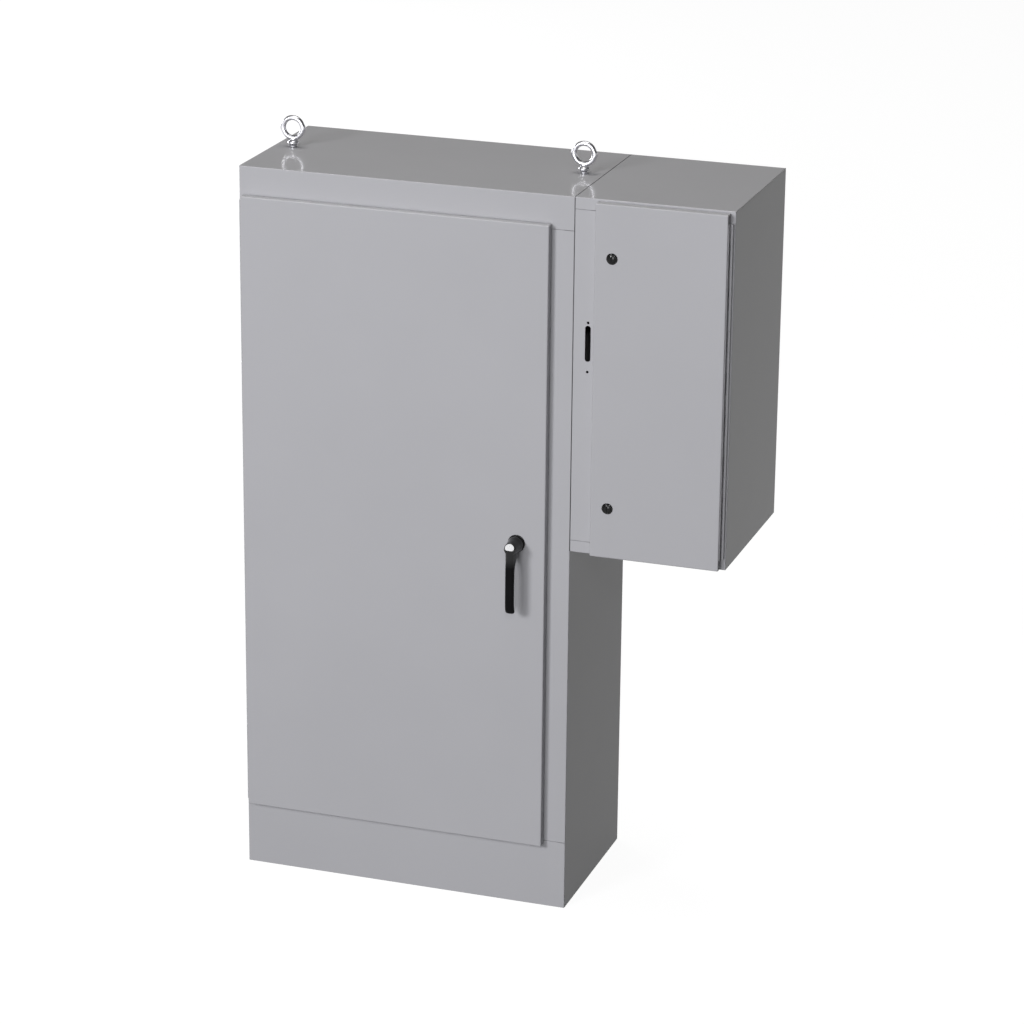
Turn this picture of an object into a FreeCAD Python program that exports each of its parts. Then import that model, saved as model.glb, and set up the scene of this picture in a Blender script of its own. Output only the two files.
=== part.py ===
"""DC combiner box: a floor-standing steel cabinet with a disconnect compartment on its upper right side.

Millimetres. Origin at the centre of the floor bolt pattern, +X to the right, +Y to the back, +Z up.
"""
import FreeCAD, Part
import math
import os
import Sketcher
from types import SimpleNamespace
from FreeCAD import Placement, Rotation, Vector

SIZES = {
    # cabinet and side box, outside
    "cab_width": 852, "cab_depth": 450, "cab_height": 1832,
    "side_width": 391, "side_height": 882,
    "wall": 2.5, "corner_radius": 2,
    "header": 83, "footer": 177, "side_band": 29,
    "lip_depth": 12,
    # main door
    "hinge_inset": 10, "latch_jamb": 56, "header_overlap": 13, "footer_overlap": 9, "lip_inset": 15,
    "door_gap": 3, "door_depth": 20, "door_sheet": 2, "bend_radius": 3,
    # side door
    "side_hinge_inset": 12, "operator_jamb": 57, "side_top_inset": 5, "side_bottom_inset": 2,
    "side_lip_inset": 10,
    # gaskets and hinges
    "gasket_width": 10, "gasket_gap": 0.3,
    "leaf_width": 12, "leaf_sheet": 1.5, "door_leaf_depth": 14, "hinge_web": 1.5,
    "barrel_radius": 3.25, "hinge_pin_radius": 1.6, "knuckle_pitch": 50, "knuckle_gap": 0.3,
    "barrel_gap": 0.5, "run_gap": 0.05,
    # door handle
    "handle_edge": 72, "handle_height": 962, "rose_radius": 22, "rose_depth": 8,
    "hub_radius": 15, "hub_reach": 48, "grip_width": 22, "grip_depth": 14, "grip_length": 166,
    "grip_rounding": 4, "shaft_radius": 6, "socket_depth": 20, "turn_gap": 0.4,
    # three-point latch
    "rod_width": 20, "rod_sheet": 4, "rod_set_back": 9, "pin_circle": 22, "yoke_pin_radius": 3,
    "yoke_play": 0.9, "yoke_web": 4, "cam_sheet": 5, "cam_gap": 0.3, "cam_radius": 27,
    "cam_arm": 80, "cam_arm_width": 18,
    "roller_radius": 8, "roller_length": 10, "roller_pin_radius": 2.5, "roller_side_gap": 0.3,
    "roller_clear": 2, "guide_sheet": 3, "guide_play": 0.5, "guide_inset": 110, "guide_rise": 180,
    "rod_tongue": 6,
    "bearing_radius": 12, "bearing_plate_width": 80, "bearing_plate_height": 120, "stiffener_inset": 60,
    # quarter-turn latches
    "turn_edge": 43, "turn_upper_inset": 135.5, "turn_lower_rise": 128,
    "bezel_radius": 14, "bezel_depth": 4, "core_radius": 9, "shank_radius": 11,
    "turn_cam_length": 45, "turn_cam_width": 16, "turn_cam_sheet": 3, "spindle_radius": 5,
    "turn_nut_flats": 28, "turn_nut_depth": 5,
    # operator slot and its two screw holes
    "slot_edge": 37, "slot_drop": 355.5, "slot_length": 89, "slot_width": 14,
    "operator_hole_radius": 3.25, "operator_hole_spacing": 121.5, "operator_hole_drop": 364.5,
    # lifting eyes
    "eye_edge": 50, "eye_height": 48.5, "eye_ring": 25, "eye_wire": 6.25, "eye_bore": 19.15,
    "eye_shank": 6, "eye_reach": 22, "eye_shoulder": 13, "eye_flange": 5, "eye_collar": 8.5,
    "eye_collar_rise": 8, "eye_washer": 16, "eye_washer_sheet": 2.5, "eye_nut_flats": 19,
    "eye_nut_depth": 12,
    # floor bolts and gland plate
    "floor_bolt_x": 702, "floor_bolt_y": 330, "floor_hole_radius": 7,
    "gland_width": 400, "gland_depth": 180, "gland_margin": 25, "plate_sheet": 3,
    # mounting panels
    "panel_edge": 45, "panel_foot": 110, "panel_sheet": 3, "panel_standoff": 30,
    "stud_radius": 4, "collar_radius": 9, "stud_inset": 25, "stud_reach": 14, "nut_flats": 13,
    "nut_depth": 6.5,
    # power parts
    "bus_standoff": 40, "bus_sheet": 6, "bus_width": 40, "string_pitch": 72, "bus_drop": 167,
    "fuse_base_width": 44, "fuse_base_height": 190, "fuse_radius": 13, "fuse_length": 130,
    "clip_width": 32, "clip_depth": 30, "clip_height": 14, "clip_inset": 10, "fuse_seat": 20,
    "negative_drop": 652, "feeder_width": 30, "feeder_plus_drop": 157, "feeder_minus_drop": 212,
    "riser_edge": 81, "feeder_lap": 27, "insulator_radius": 15,
    "lug_width": 22, "lug_depth": 24, "lug_height": 34, "lug_bore": 7,
    "passage_width": 120, "passage_height": 150, "passage_drop": 182,
    "ground_height": 260, "ground_length": 360, "rail_height": 760, "rail_length": 320,
    "arrester_width": 36, "arrester_depth": 66, "arrester_height": 90,
    # disconnect switch
    "switch_width": 170, "switch_drop": 272, "switch_height": 260, "switch_depth": 100,
    "pole_pitch": 80, "terminal_reach": 30, "toggle_length": 50, "toggle_tilt": 20, "toggle_rise": 130,
    "toggle_pivot": 14,
    # bolts between the two boxes
    "bolt_radius": 4, "bolt_gap": 0.5, "bolt_inset": 70,
}

STRINGS = 8
HALF_ROOT = math.sqrt(0.5)
FLATS_TO_RADIUS = 1 / math.sqrt(3)
TURNS = {"x": Rotation(Vector(0, 1, 0), 90), "y": Rotation(Vector(1, 0, 0), -90), "z": Rotation()}

doc = FreeCAD.newDocument("combiner_box")
sheet = doc.addObject("Spreadsheet::Sheet", "dims")
for row, (alias, number) in enumerate(SIZES.items(), start=1):
    sheet.set(f"A{row}", alias)
    sheet.set(f"B{row}", str(number))
    sheet.setAlias(f"B{row}", alias)
doc.recompute()
NODES = []


class Size:
    """A place or length as text bound to the sheet, with its present value beside it."""

    def __init__(self, text, value):
        self.text = text
        self.value = value

    def __add__(self, other):
        other = size(other)
        return Size(f"({self.text} + {other.text})", self.value + other.value)

    def __sub__(self, other):
        other = size(other)
        return Size(f"({self.text} - {other.text})", self.value - other.value)

    def __mul__(self, other):
        other = size(other)
        return Size(f"({self.text} * {other.text})", self.value * other.value)

    def __truediv__(self, other):
        other = size(other)
        return Size(f"({self.text} / {other.text})", self.value / other.value)

    def __neg__(self):
        return Size(f"(0 - {self.text})", -self.value)

    def __rsub__(self, other):
        return size(other) - self

    __radd__ = __add__
    __rmul__ = __mul__


def size(thing):
    """A plain number or a Size, as a Size."""
    if isinstance(thing, Size):
        return thing
    return Size(f"({thing})", thing)


d = SimpleNamespace(**{alias: Size(f"dims.{alias}", number) for alias, number in SIZES.items()})

# ---------------------------------------------------------------- places shared by several pieces

LEFT = -d.cab_width / 2
RIGHT = d.cab_width / 2
FRONT = -d.cab_depth / 2
BACK = d.cab_depth / 2
TOP = d.cab_height
SIDE_RIGHT = RIGHT + d.side_width
SIDE_BOTTOM = TOP - d.side_height
LIP_FRONT = FRONT - d.lip_depth
DOOR_BACK = FRONT - d.door_gap
DOOR_FRONT = DOOR_BACK - d.door_depth
DOOR_INNER = DOOR_FRONT + d.door_sheet

# each door as (left, right, bottom, top), and the opening that it closes
DOOR = (LEFT + d.hinge_inset, RIGHT - d.latch_jamb, d.footer - d.footer_overlap,
        TOP - d.header + d.header_overlap)
OPENING = (DOOR[0] + d.lip_inset, DOOR[1] - d.lip_inset, d.footer, TOP - d.header)
SIDE_DOOR = (RIGHT + d.operator_jamb, SIDE_RIGHT - d.side_hinge_inset,
             SIDE_BOTTOM + d.side_bottom_inset, TOP - d.side_top_inset)
SIDE_OPENING = (SIDE_DOOR[0] + d.side_lip_inset, SIDE_DOOR[1] - d.side_lip_inset,
                SIDE_BOTTOM + d.side_band, TOP - d.side_band)

HANDLE_X = DOOR[1] - d.handle_edge
HANDLE_Z = d.handle_height
ROD_FRONT = FRONT + d.rod_set_back
ROD_BACK = ROD_FRONT + d.rod_sheet
CAM_FRONT = ROD_BACK + d.cam_gap
CAM_BACK = CAM_FRONT + d.cam_sheet

PANEL_BACK = BACK - d.wall - d.panel_standoff
PANEL_FRONT = PANEL_BACK - d.panel_sheet
BUS_BACK = PANEL_FRONT - d.bus_standoff
BUS_FRONT = BUS_BACK - d.bus_sheet
FEEDER_FRONT = BUS_FRONT - d.bus_sheet
SWITCH_X = RIGHT + d.side_width / 2

# heights that follow the roof, because both boxes hang from it
BUS_HEIGHT = TOP - d.bus_drop
NEGATIVE_HEIGHT = TOP - d.negative_drop
PLUS_HEIGHT = TOP - d.feeder_plus_drop
MINUS_HEIGHT = TOP - d.feeder_minus_drop
PASSAGE_HEIGHT = TOP - d.passage_drop
SLOT_HEIGHT = TOP - d.slot_drop
SWITCH_TOP = TOP - d.switch_drop
SWITCH_BOTTOM = SWITCH_TOP - d.switch_height
TOGGLE_HEIGHT = SWITCH_BOTTOM + d.toggle_rise


# ---------------------------------------------------------------- ways of making a piece

def bind(thing, name, value):
    thing.setExpression(name, size(value).text)


def keep(label, piece):
    """Name a finished sub-part; the label is its node's name."""
    piece.Label = label
    NODES.append(piece)
    return piece


def block(x, y, z):
    """A block between two places on each axis."""
    piece = doc.addObject("Part::Box", "block")
    for edge, axis, span in (("Length", "x", x), ("Width", "y", y), ("Height", "z", z)):
        bind(piece, edge, size(span[1]) - span[0])
        bind(piece, f"Placement.Base.{axis}", span[0])
    return piece


def stand(piece, axis, low, centre):
    """Turn a piece's own Z onto an axis, start it at low and centre it on the other two axes."""
    piece.Placement = Placement(Vector(), TURNS[axis])
    bind(piece, f"Placement.Base.{axis}", low)
    others = [name for name in "xyz" if name != axis]
    for name, place in zip(others, centre):
        bind(piece, f"Placement.Base.{name}", place)
    return piece


def drum(axis, radius, span, centre):
    """A cylinder along an axis between two places."""
    piece = doc.addObject("Part::Cylinder", "drum")
    bind(piece, "Radius", radius)
    bind(piece, "Height", size(span[1]) - span[0])
    return stand(piece, axis, span[0], centre)


def cone(axis, low_radius, high_radius, span, centre):
    """A cone along an axis between two places."""
    piece = doc.addObject("Part::Cone", "cone")
    bind(piece, "Radius1", low_radius)
    bind(piece, "Radius2", high_radius)
    bind(piece, "Height", size(span[1]) - span[0])
    return stand(piece, axis, span[0], centre)


def hexagon(axis, flats, span, centre):
    """A hexagonal prism along an axis, sized across its flats."""
    piece = doc.addObject("Part::Prism", "hexagon")
    piece.Polygon = 6
    bind(piece, "Circumradius", size(flats) * FLATS_TO_RADIUS)
    bind(piece, "Height", size(span[1]) - span[0])
    return stand(piece, axis, span[0], centre)


def join(pieces):
    """Several touching pieces made one."""
    piece = doc.addObject("Part::MultiFuse", "join")
    piece.Shapes = pieces
    piece.Refine = True
    return piece


def group(pieces):
    """Separate solids that share a node."""
    piece = doc.addObject("Part::Compound", "group")
    piece.Links = pieces
    return piece


def cut(base, tools):
    """A base less its tools, which don't touch each other."""
    piece = doc.addObject("Part::Cut", "cut")
    piece.Base = base
    piece.Tool = tools[0] if len(tools) == 1 else group(tools)
    piece.Refine = True
    return piece


def sketch_on(body, role, offset):
    """A sketch on one of the body's origin planes, moved along the plane's normal."""
    sketch = body.newObject("Sketcher::SketchObject", "outline")
    plane = [feature for feature in body.Origin.OriginFeatures if feature.Role == role][0]
    sketch.AttachmentSupport = [(plane, "")]
    sketch.MapMode = "FlatFace"
    bind(sketch, "AttachmentOffset.Base.z", offset)
    return sketch


def loop(sketch, corners):
    """A closed outline whose corners are all bound to the sheet."""
    first = sketch.GeometryCount
    places = [Vector(size(u).value, size(v).value, 0) for u, v in corners]
    count = len(corners)
    for index in range(count):
        sketch.addGeometry(Part.LineSegment(places[index], places[(index + 1) % count]))
    for index in range(count):
        following = first + (index + 1) % count
        sketch.addConstraint(Sketcher.Constraint("Coincident", first + index, 2, following, 1))
    for index, corner in enumerate(corners):
        for kind, place in zip(("DistanceX", "DistanceY"), corner):
            fix(sketch, kind, first + index, 1, place)


def fix(sketch, kind, geometry, point, place):
    """Hold one coordinate of a sketch point at a place from the sheet."""
    value = size(place).value
    number = sketch.addConstraint(Sketcher.Constraint(kind, -1, 1, geometry, point, value))
    sketch.setExpression(f"Constraints[{number}]", size(place).text)


def circle(sketch, u, v, radius):
    """A circle whose centre and radius are bound to the sheet."""
    centre = Vector(size(u).value, size(v).value, 0)
    ring = sketch.addGeometry(Part.Circle(centre, Vector(0, 0, 1), size(radius).value))
    fix(sketch, "DistanceX", ring, 3, u)
    fix(sketch, "DistanceY", ring, 3, v)
    number = sketch.addConstraint(Sketcher.Constraint("Radius", ring, size(radius).value))
    sketch.setExpression(f"Constraints[{number}]", size(radius).text)


def rectangle(u, v):
    return [(u[0], v[0]), (u[1], v[0]), (u[1], v[1]), (u[0], v[1])]


def feature(body, kind, sketch, length, reverse=False):
    """A pad or pocket of a sketch; it must change the body's volume."""
    before = body.Shape.Volume if body.Tip else 0
    step = body.newObject(f"PartDesign::{kind}", kind.lower())
    step.Profile = sketch
    bind(step, "Length", length)
    step.Reversed = reverse
    doc.recompute()
    if abs(step.Shape.Volume - before) < 1e-3:
        raise ValueError(f"a {kind} in {body.Name} changes nothing")
    return step


def pad(body, role, start, length, corners):
    """Add a straight run of an outline; XZ sketches face -Y, so there start is the back face."""
    sketch = sketch_on(body, role, start)
    loop(sketch, corners)
    return feature(body, "Pad", sketch, length)


def round_off(body, step, radius, wanted):
    """Round the edges of a feature that the test picks."""
    names = [f"Edge{n}" for n, edge in enumerate(step.Shape.Edges, start=1) if wanted(edge)]
    fillet = body.newObject("PartDesign::Fillet", "fillet")
    fillet.Base = (step, names)
    bind(fillet, "Radius", radius)
    doc.recompute()
    return fillet


def lies(edge, **places):
    """True for an edge that lies at all of these places."""
    bounds = edge.BoundBox
    spans = {"x": (bounds.XMin, bounds.XMax), "y": (bounds.YMin, bounds.YMax),
             "z": (bounds.ZMin, bounds.ZMax)}
    return all(abs(end - size(place).value) < 1e-4 for axis, place in places.items() for end in spans[axis])


# ---------------------------------------------------------------- the two sheet-metal boxes

def shell(prefix, x, z, opening):
    """Five formed sheets of a box: roof with header, floor with footer, two walls with jambs, back."""
    left, right, bottom, top = opening
    inner = (FRONT + d.wall, BACK)
    sheets = {}

    roof = doc.addObject("PartDesign::Body", f"{prefix}_roof")
    step = pad(roof, "YZ_Plane", x[0], x[1] - x[0],
               [(FRONT, z[1]), (BACK, z[1]), (BACK, z[1] - d.wall), (inner[0], z[1] - d.wall),
                (inner[0], top), (FRONT, top)])
    round_off(roof, step, d.corner_radius, lambda edge: lies(edge, y=FRONT, z=z[1])
              or lies(edge, y=FRONT, x=x[0]) or lies(edge, y=FRONT, x=x[1]))
    pad(roof, "YZ_Plane", left, right - left, rectangle((LIP_FRONT, inner[0]), (top, top + d.wall)))
    sheets["roof"] = roof

    floor = doc.addObject("PartDesign::Body", f"{prefix}_floor")
    step = pad(floor, "YZ_Plane", x[0], x[1] - x[0],
               [(FRONT, z[0]), (BACK, z[0]), (BACK, z[0] + d.wall), (inner[0], z[0] + d.wall),
                (inner[0], bottom), (FRONT, bottom)])
    round_off(floor, step, d.corner_radius,
              lambda edge: lies(edge, y=FRONT, x=x[0]) or lies(edge, y=FRONT, x=x[1]))
    pad(floor, "YZ_Plane", left, right - left, rectangle((LIP_FRONT, inner[0]), (bottom - d.wall, bottom)))
    sheets["floor"] = floor

    for side, outer, edge_x, sign in (("left", x[0], left, 1), ("right", x[1], right, -1)):
        wall = doc.addObject("PartDesign::Body", f"{prefix}_{side}_wall")
        step = pad(wall, "XY_Plane", bottom, top - bottom,
                   [(outer, FRONT), (edge_x, FRONT), (edge_x, inner[0]), (outer + sign * d.wall, inner[0]),
                    (outer + sign * d.wall, BACK), (outer, BACK)])
        round_off(wall, step, d.corner_radius, lambda edge, at=outer: lies(edge, x=at, y=FRONT))
        pad(wall, "XY_Plane", bottom, top - bottom,
            rectangle((edge_x - sign * d.wall, edge_x), (LIP_FRONT, inner[0])))
        for low, high in ((z[0] + d.wall, bottom), (top, z[1] - d.wall)):
            pad(wall, "XY_Plane", low, high - low, rectangle((outer, outer + sign * d.wall), inner))
        sheets[side] = wall

    back = block((x[0] + d.wall, x[1] - d.wall), (BACK - d.wall, BACK), (z[0] + d.wall, z[1] - d.wall))
    keep(f"{prefix}_back_wall", back)
    for piece in ("roof", "floor"):
        keep(f"{prefix}_{piece}", sheets[piece])
    for side in ("left", "right"):
        keep(f"{prefix}_{side}_wall", sheets[side])
    return sheets


def pierce(body, role, start, depth, circles=(), rectangles=()):
    """Holes through a sheet, cut against the plane's normal from start."""
    sketch = sketch_on(body, role, start)
    for u, v, radius in circles:
        circle(sketch, u, v, radius)
    for u, v in rectangles:
        loop(sketch, rectangle(u, v))
    feature(body, "Pocket", sketch, depth)


main = shell("cabinet", (LEFT, RIGHT), (size(0), TOP), OPENING)
side = shell("side_box", (RIGHT, SIDE_RIGHT), (SIDE_BOTTOM, TOP), SIDE_OPENING)

FLOOR_BOLTS = [(x * d.floor_bolt_x / 2, y * d.floor_bolt_y / 2) for x in (-1, 1) for y in (-1, 1)]
GLAND = ((-d.gland_width / 2, d.gland_width / 2), (-d.gland_depth / 2, d.gland_depth / 2))
pierce(main["floor"], "XY_Plane", d.wall, d.wall,
       circles=[(x, y, d.floor_hole_radius) for x, y in FLOOR_BOLTS], rectangles=[GLAND])

EYES = [LEFT + d.eye_edge, RIGHT - d.eye_edge]
pierce(main["roof"], "XY_Plane", TOP, d.wall,
       circles=[(x, size(0), d.eye_shank + d.bolt_gap) for x in EYES])

BOLT_YS = [FRONT + d.bolt_inset, BACK - d.bolt_inset]
BOLT_ZS = [SIDE_BOTTOM + d.bolt_inset, TOP - d.bolt_inset]
COUPLING_BOLTS = [(y, z) for y in BOLT_YS for z in BOLT_ZS]
PASSAGE = ((BUS_FRONT - d.passage_width / 2, BUS_FRONT + d.passage_width / 2),
           (PASSAGE_HEIGHT - d.passage_height / 2, PASSAGE_HEIGHT + d.passage_height / 2))
for sheets, name, start in ((main, "right", RIGHT), (side, "left", RIGHT + d.wall)):
    pierce(sheets[name], "YZ_Plane", start, d.wall,
           circles=[(y, z, d.bolt_radius + d.bolt_gap) for y, z in COUPLING_BOLTS], rectangles=[PASSAGE])

SLOT_X = RIGHT + d.slot_edge
SLOT_END = (d.slot_length - d.slot_width) / 2
SLOT_SPAN = (SLOT_HEIGHT - SLOT_END, SLOT_HEIGHT + SLOT_END)
pierce(side["left"], "XZ_Plane", -FRONT, d.wall,
       rectangles=[((SLOT_X - d.slot_width / 2, SLOT_X + d.slot_width / 2), SLOT_SPAN)])
for end in SLOT_SPAN:
    pierce(side["left"], "XZ_Plane", -FRONT, d.wall, circles=[(SLOT_X, end, d.slot_width / 2)])
OPERATOR_HOLES = [(TOP - d.operator_hole_drop) + sign * d.operator_hole_spacing / 2 for sign in (-1, 1)]
pierce(side["left"], "XZ_Plane", -FRONT, d.wall,
       circles=[(SLOT_X, z, d.operator_hole_radius) for z in OPERATOR_HOLES])


# ---------------------------------------------------------------- doors, gaskets and hinges

def door_pan(label, edges, holes):
    """A sheet folded back along its four edges, with round holes through its front."""
    left, right, bottom, top = edges
    body = doc.addObject("PartDesign::Body", label)
    step = pad(body, "XZ_Plane", -DOOR_BACK, d.door_depth, rectangle((left, right), (bottom, top)))
    round_off(body, step, d.bend_radius, lambda edge: lies(edge, y=DOOR_FRONT)
              or any(lies(edge, x=x, z=z) for x in (left, right) for z in (bottom, top)))
    inside = sketch_on(body, "XZ_Plane", -DOOR_BACK)
    loop(inside, rectangle((left + d.door_sheet, right - d.door_sheet),
                           (bottom + d.door_sheet, top - d.door_sheet)))
    feature(body, "Pocket", inside, d.door_depth - d.door_sheet, reverse=True)
    pierce(body, "XZ_Plane", -DOOR_FRONT, d.door_sheet, circles=holes)
    return keep(label, body)


def gasket(label, opening):
    """A foam strip round the door's inner face, in line with the opening's lip."""
    left, right, bottom, top = opening
    lip = d.wall / 2
    depth = (DOOR_INNER, LIP_FRONT - d.gasket_gap)

    def frame(grow):
        return block((left - lip - grow, right + lip + grow), depth,
                     (bottom - lip - grow, top + lip + grow))

    keep(label, cut(frame(d.gasket_width / 2), [frame(-d.gasket_width / 2)]))


def hinge(prefix, door_edge, sign, z):
    """A continuous hinge; sign is +1 where the door lies to the right of the pin."""
    knuckles = round((z[1] - z[0]).value / SIZES["knuckle_pitch"])
    pitch = (z[1] - z[0]) / knuckles
    offset = d.leaf_sheet + d.barrel_gap + d.barrel_radius
    pin_x = door_edge - sign * offset
    pin_y = FRONT - offset
    half_web = d.hinge_web / 2

    def spread(start, length):
        return (start, start + length) if sign > 0 else (start - length, start)

    body_leaf = [block(spread(pin_x, d.leaf_width), (FRONT - d.leaf_sheet, FRONT), z)]
    door_leaf = [block(spread(door_edge - sign * d.leaf_sheet, d.leaf_sheet),
                       (pin_y - d.door_leaf_depth, pin_y + half_web), z)]
    for index in range(knuckles):
        span = (z[0] + pitch * index + d.knuckle_gap / 2, z[0] + pitch * (index + 1) - d.knuckle_gap / 2)
        knuckle = drum("z", d.barrel_radius, span, (pin_x, pin_y))
        if index % 2 == 0:
            web = block((pin_x - half_web, pin_x + half_web), (pin_y, FRONT), span)
            body_leaf += [knuckle, web]
        else:
            web = block(spread(pin_x, offset - d.leaf_sheet / 2), (pin_y - half_web, pin_y + half_web),
                        span)
            door_leaf += [knuckle, web]
    for name, pieces in (("body", body_leaf), ("door", door_leaf)):
        bore = drum("z", d.hinge_pin_radius + d.run_gap, (z[0] - 1, z[1] + 1), (pin_x, pin_y))
        keep(f"{prefix}_hinge_{name}_leaf", cut(join(pieces), [bore]))
    keep(f"{prefix}_hinge_pin", drum("z", d.hinge_pin_radius, z, (pin_x, pin_y)))


TURN_X = SIDE_DOOR[0] + d.turn_edge
TURN_ZS = {"upper": TOP - d.turn_upper_inset, "lower": SIDE_BOTTOM + d.turn_lower_rise}
door_pan("main_door_panel", DOOR, [(HANDLE_X, HANDLE_Z, d.shaft_radius + 1)])
door_pan("side_door_panel", SIDE_DOOR, [(TURN_X, z, d.shank_radius + d.run_gap) for z in TURN_ZS.values()])
gasket("main_door_gasket", OPENING)
gasket("side_door_gasket", SIDE_OPENING)
hinge("main", DOOR[0], 1, OPENING[2:])
hinge("side", SIDE_DOOR[1], -1, SIDE_OPENING[2:])


def stiffener(x):
    """A channel spot-welded up the inside of the main door."""
    half, rise, sheet = 20, 15, d.door_sheet
    body = doc.addObject("PartDesign::Body", "stiffener")
    low, high = DOOR_INNER, DOOR_INNER + rise
    pad(body, "XY_Plane", DOOR[2] + STIFFENER_INSET, DOOR[3] - DOOR[2] - 2 * STIFFENER_INSET,
        [(x - half, low), (x - half, high), (x + half, high), (x + half, low),
         (x + half - sheet, low), (x + half - sheet, high - sheet),
         (x - half + sheet, high - sheet), (x - half + sheet, low)])
    return body


STIFFENER_INSET = d.stiffener_inset
keep("main_door_stiffeners", group([stiffener(LEFT + d.cab_width * share) for share in (0.2, 0.6)]))


# ---------------------------------------------------------------- door handle and three-point latch

ROSE_FRONT = DOOR_FRONT - d.rose_depth
HUB_BACK = ROSE_FRONT - d.turn_gap
HUB_FRONT = HUB_BACK - d.hub_reach
SOCKET_DEPTH = d.socket_depth
HANDLE_AXIS = (HANDLE_X, HANDLE_Z)
SHAFT_BORE = d.shaft_radius + d.run_gap

keep("handle_rose", cut(join([
    drum("y", d.rose_radius, (ROSE_FRONT + d.rose_depth / 2, DOOR_FRONT), HANDLE_AXIS),
    cone("y", d.rose_radius - 3, d.rose_radius, (ROSE_FRONT, ROSE_FRONT + d.rose_depth / 2), HANDLE_AXIS)]),
    [drum("y", SHAFT_BORE, (ROSE_FRONT - 1, DOOR_FRONT + 1), HANDLE_AXIS)]))


def door_handle():
    """A hub with a hanging grip whose lower end turns in towards the door."""
    body = doc.addObject("PartDesign::Body", "door_handle")
    high = HANDLE_Z + d.hub_radius - 1
    low = HANDLE_Z - d.grip_length
    near = HUB_FRONT + d.grip_depth
    arm = pad(body, "YZ_Plane", HANDLE_X - d.grip_width / 2, d.grip_width,
              [(HUB_FRONT, high), (HUB_FRONT, low + 8), (HUB_FRONT + 5, low), (near + 5, low),
               (near + 4, low + 12), (near, low + 30), (near, high)])
    sides = [HANDLE_X - d.grip_width / 2, HANDLE_X + d.grip_width / 2]
    round_off(body, arm, d.grip_rounding, lambda edge: any(lies(edge, x=x) for x in sides))
    hub = sketch_on(body, "XZ_Plane", -HUB_BACK)
    circle(hub, HANDLE_X, HANDLE_Z, d.hub_radius)
    feature(body, "Pad", hub, d.hub_reach - 2)
    pierce(body, "XZ_Plane", SOCKET_DEPTH - HUB_BACK, size(SOCKET_DEPTH),
           circles=[(HANDLE_X, HANDLE_Z, SHAFT_BORE)])
    return body


keep("door_handle", door_handle())
keep("latch_shaft", join([
    drum("y", d.shaft_radius, (HUB_BACK - SOCKET_DEPTH, CAM_BACK), HANDLE_AXIS),
    drum("y", d.shaft_radius + 3, (CAM_BACK, CAM_BACK + 4), HANDLE_AXIS)]))
keep("latch_bearing", cut(join([
    block((HANDLE_X - d.bearing_plate_width / 2, HANDLE_X + d.bearing_plate_width / 2),
          (DOOR_INNER, DOOR_INNER + d.guide_sheet),
          (HANDLE_Z - d.bearing_plate_height / 2, HANDLE_Z + d.bearing_plate_height / 2)),
    drum("y", d.bearing_radius, (DOOR_INNER, ROD_FRONT - 1), HANDLE_AXIS)]),
    [drum("y", SHAFT_BORE, (DOOR_INNER - 1, ROD_FRONT), HANDLE_AXIS)]))

PIN_STEP = d.pin_circle * HALF_ROOT
cam_pins = [drum("y", d.yoke_pin_radius, (ROD_FRONT, CAM_BACK),
                 (HANDLE_X + sign * PIN_STEP, HANDLE_Z + sign * PIN_STEP))
            for sign in (-1, 1)]
keep("latch_cam", cut(join([
    drum("y", d.cam_radius, (CAM_FRONT, CAM_BACK), HANDLE_AXIS),
    block((HANDLE_X - d.cam_arm_width / 2, HANDLE_X + d.cam_arm_width / 2), (CAM_FRONT, CAM_BACK),
          (HANDLE_Z, HANDLE_Z + d.cam_arm))] + cam_pins),
    [drum("y", SHAFT_BORE, (CAM_FRONT - 1, CAM_BACK + 1), HANDLE_AXIS)]))

ROD_Y = (ROD_FRONT + ROD_BACK) / 2
ROLLER_ZS = {"upper": OPENING[3] - d.roller_clear - d.roller_radius,
             "lower": OPENING[2] + d.roller_clear + d.roller_radius}
ROD_SIDES = {"upper": -1, "lower": 1}
ROD_XS = {name: HANDLE_X + sign * (d.pin_circle + PIN_STEP) / 2 for name, sign in ROD_SIDES.items()}
TONGUE = d.rod_tongue


def ordered(one, other):
    """Two places, the lower first."""
    return (one, other) if size(one).value < size(other).value else (other, one)


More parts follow.
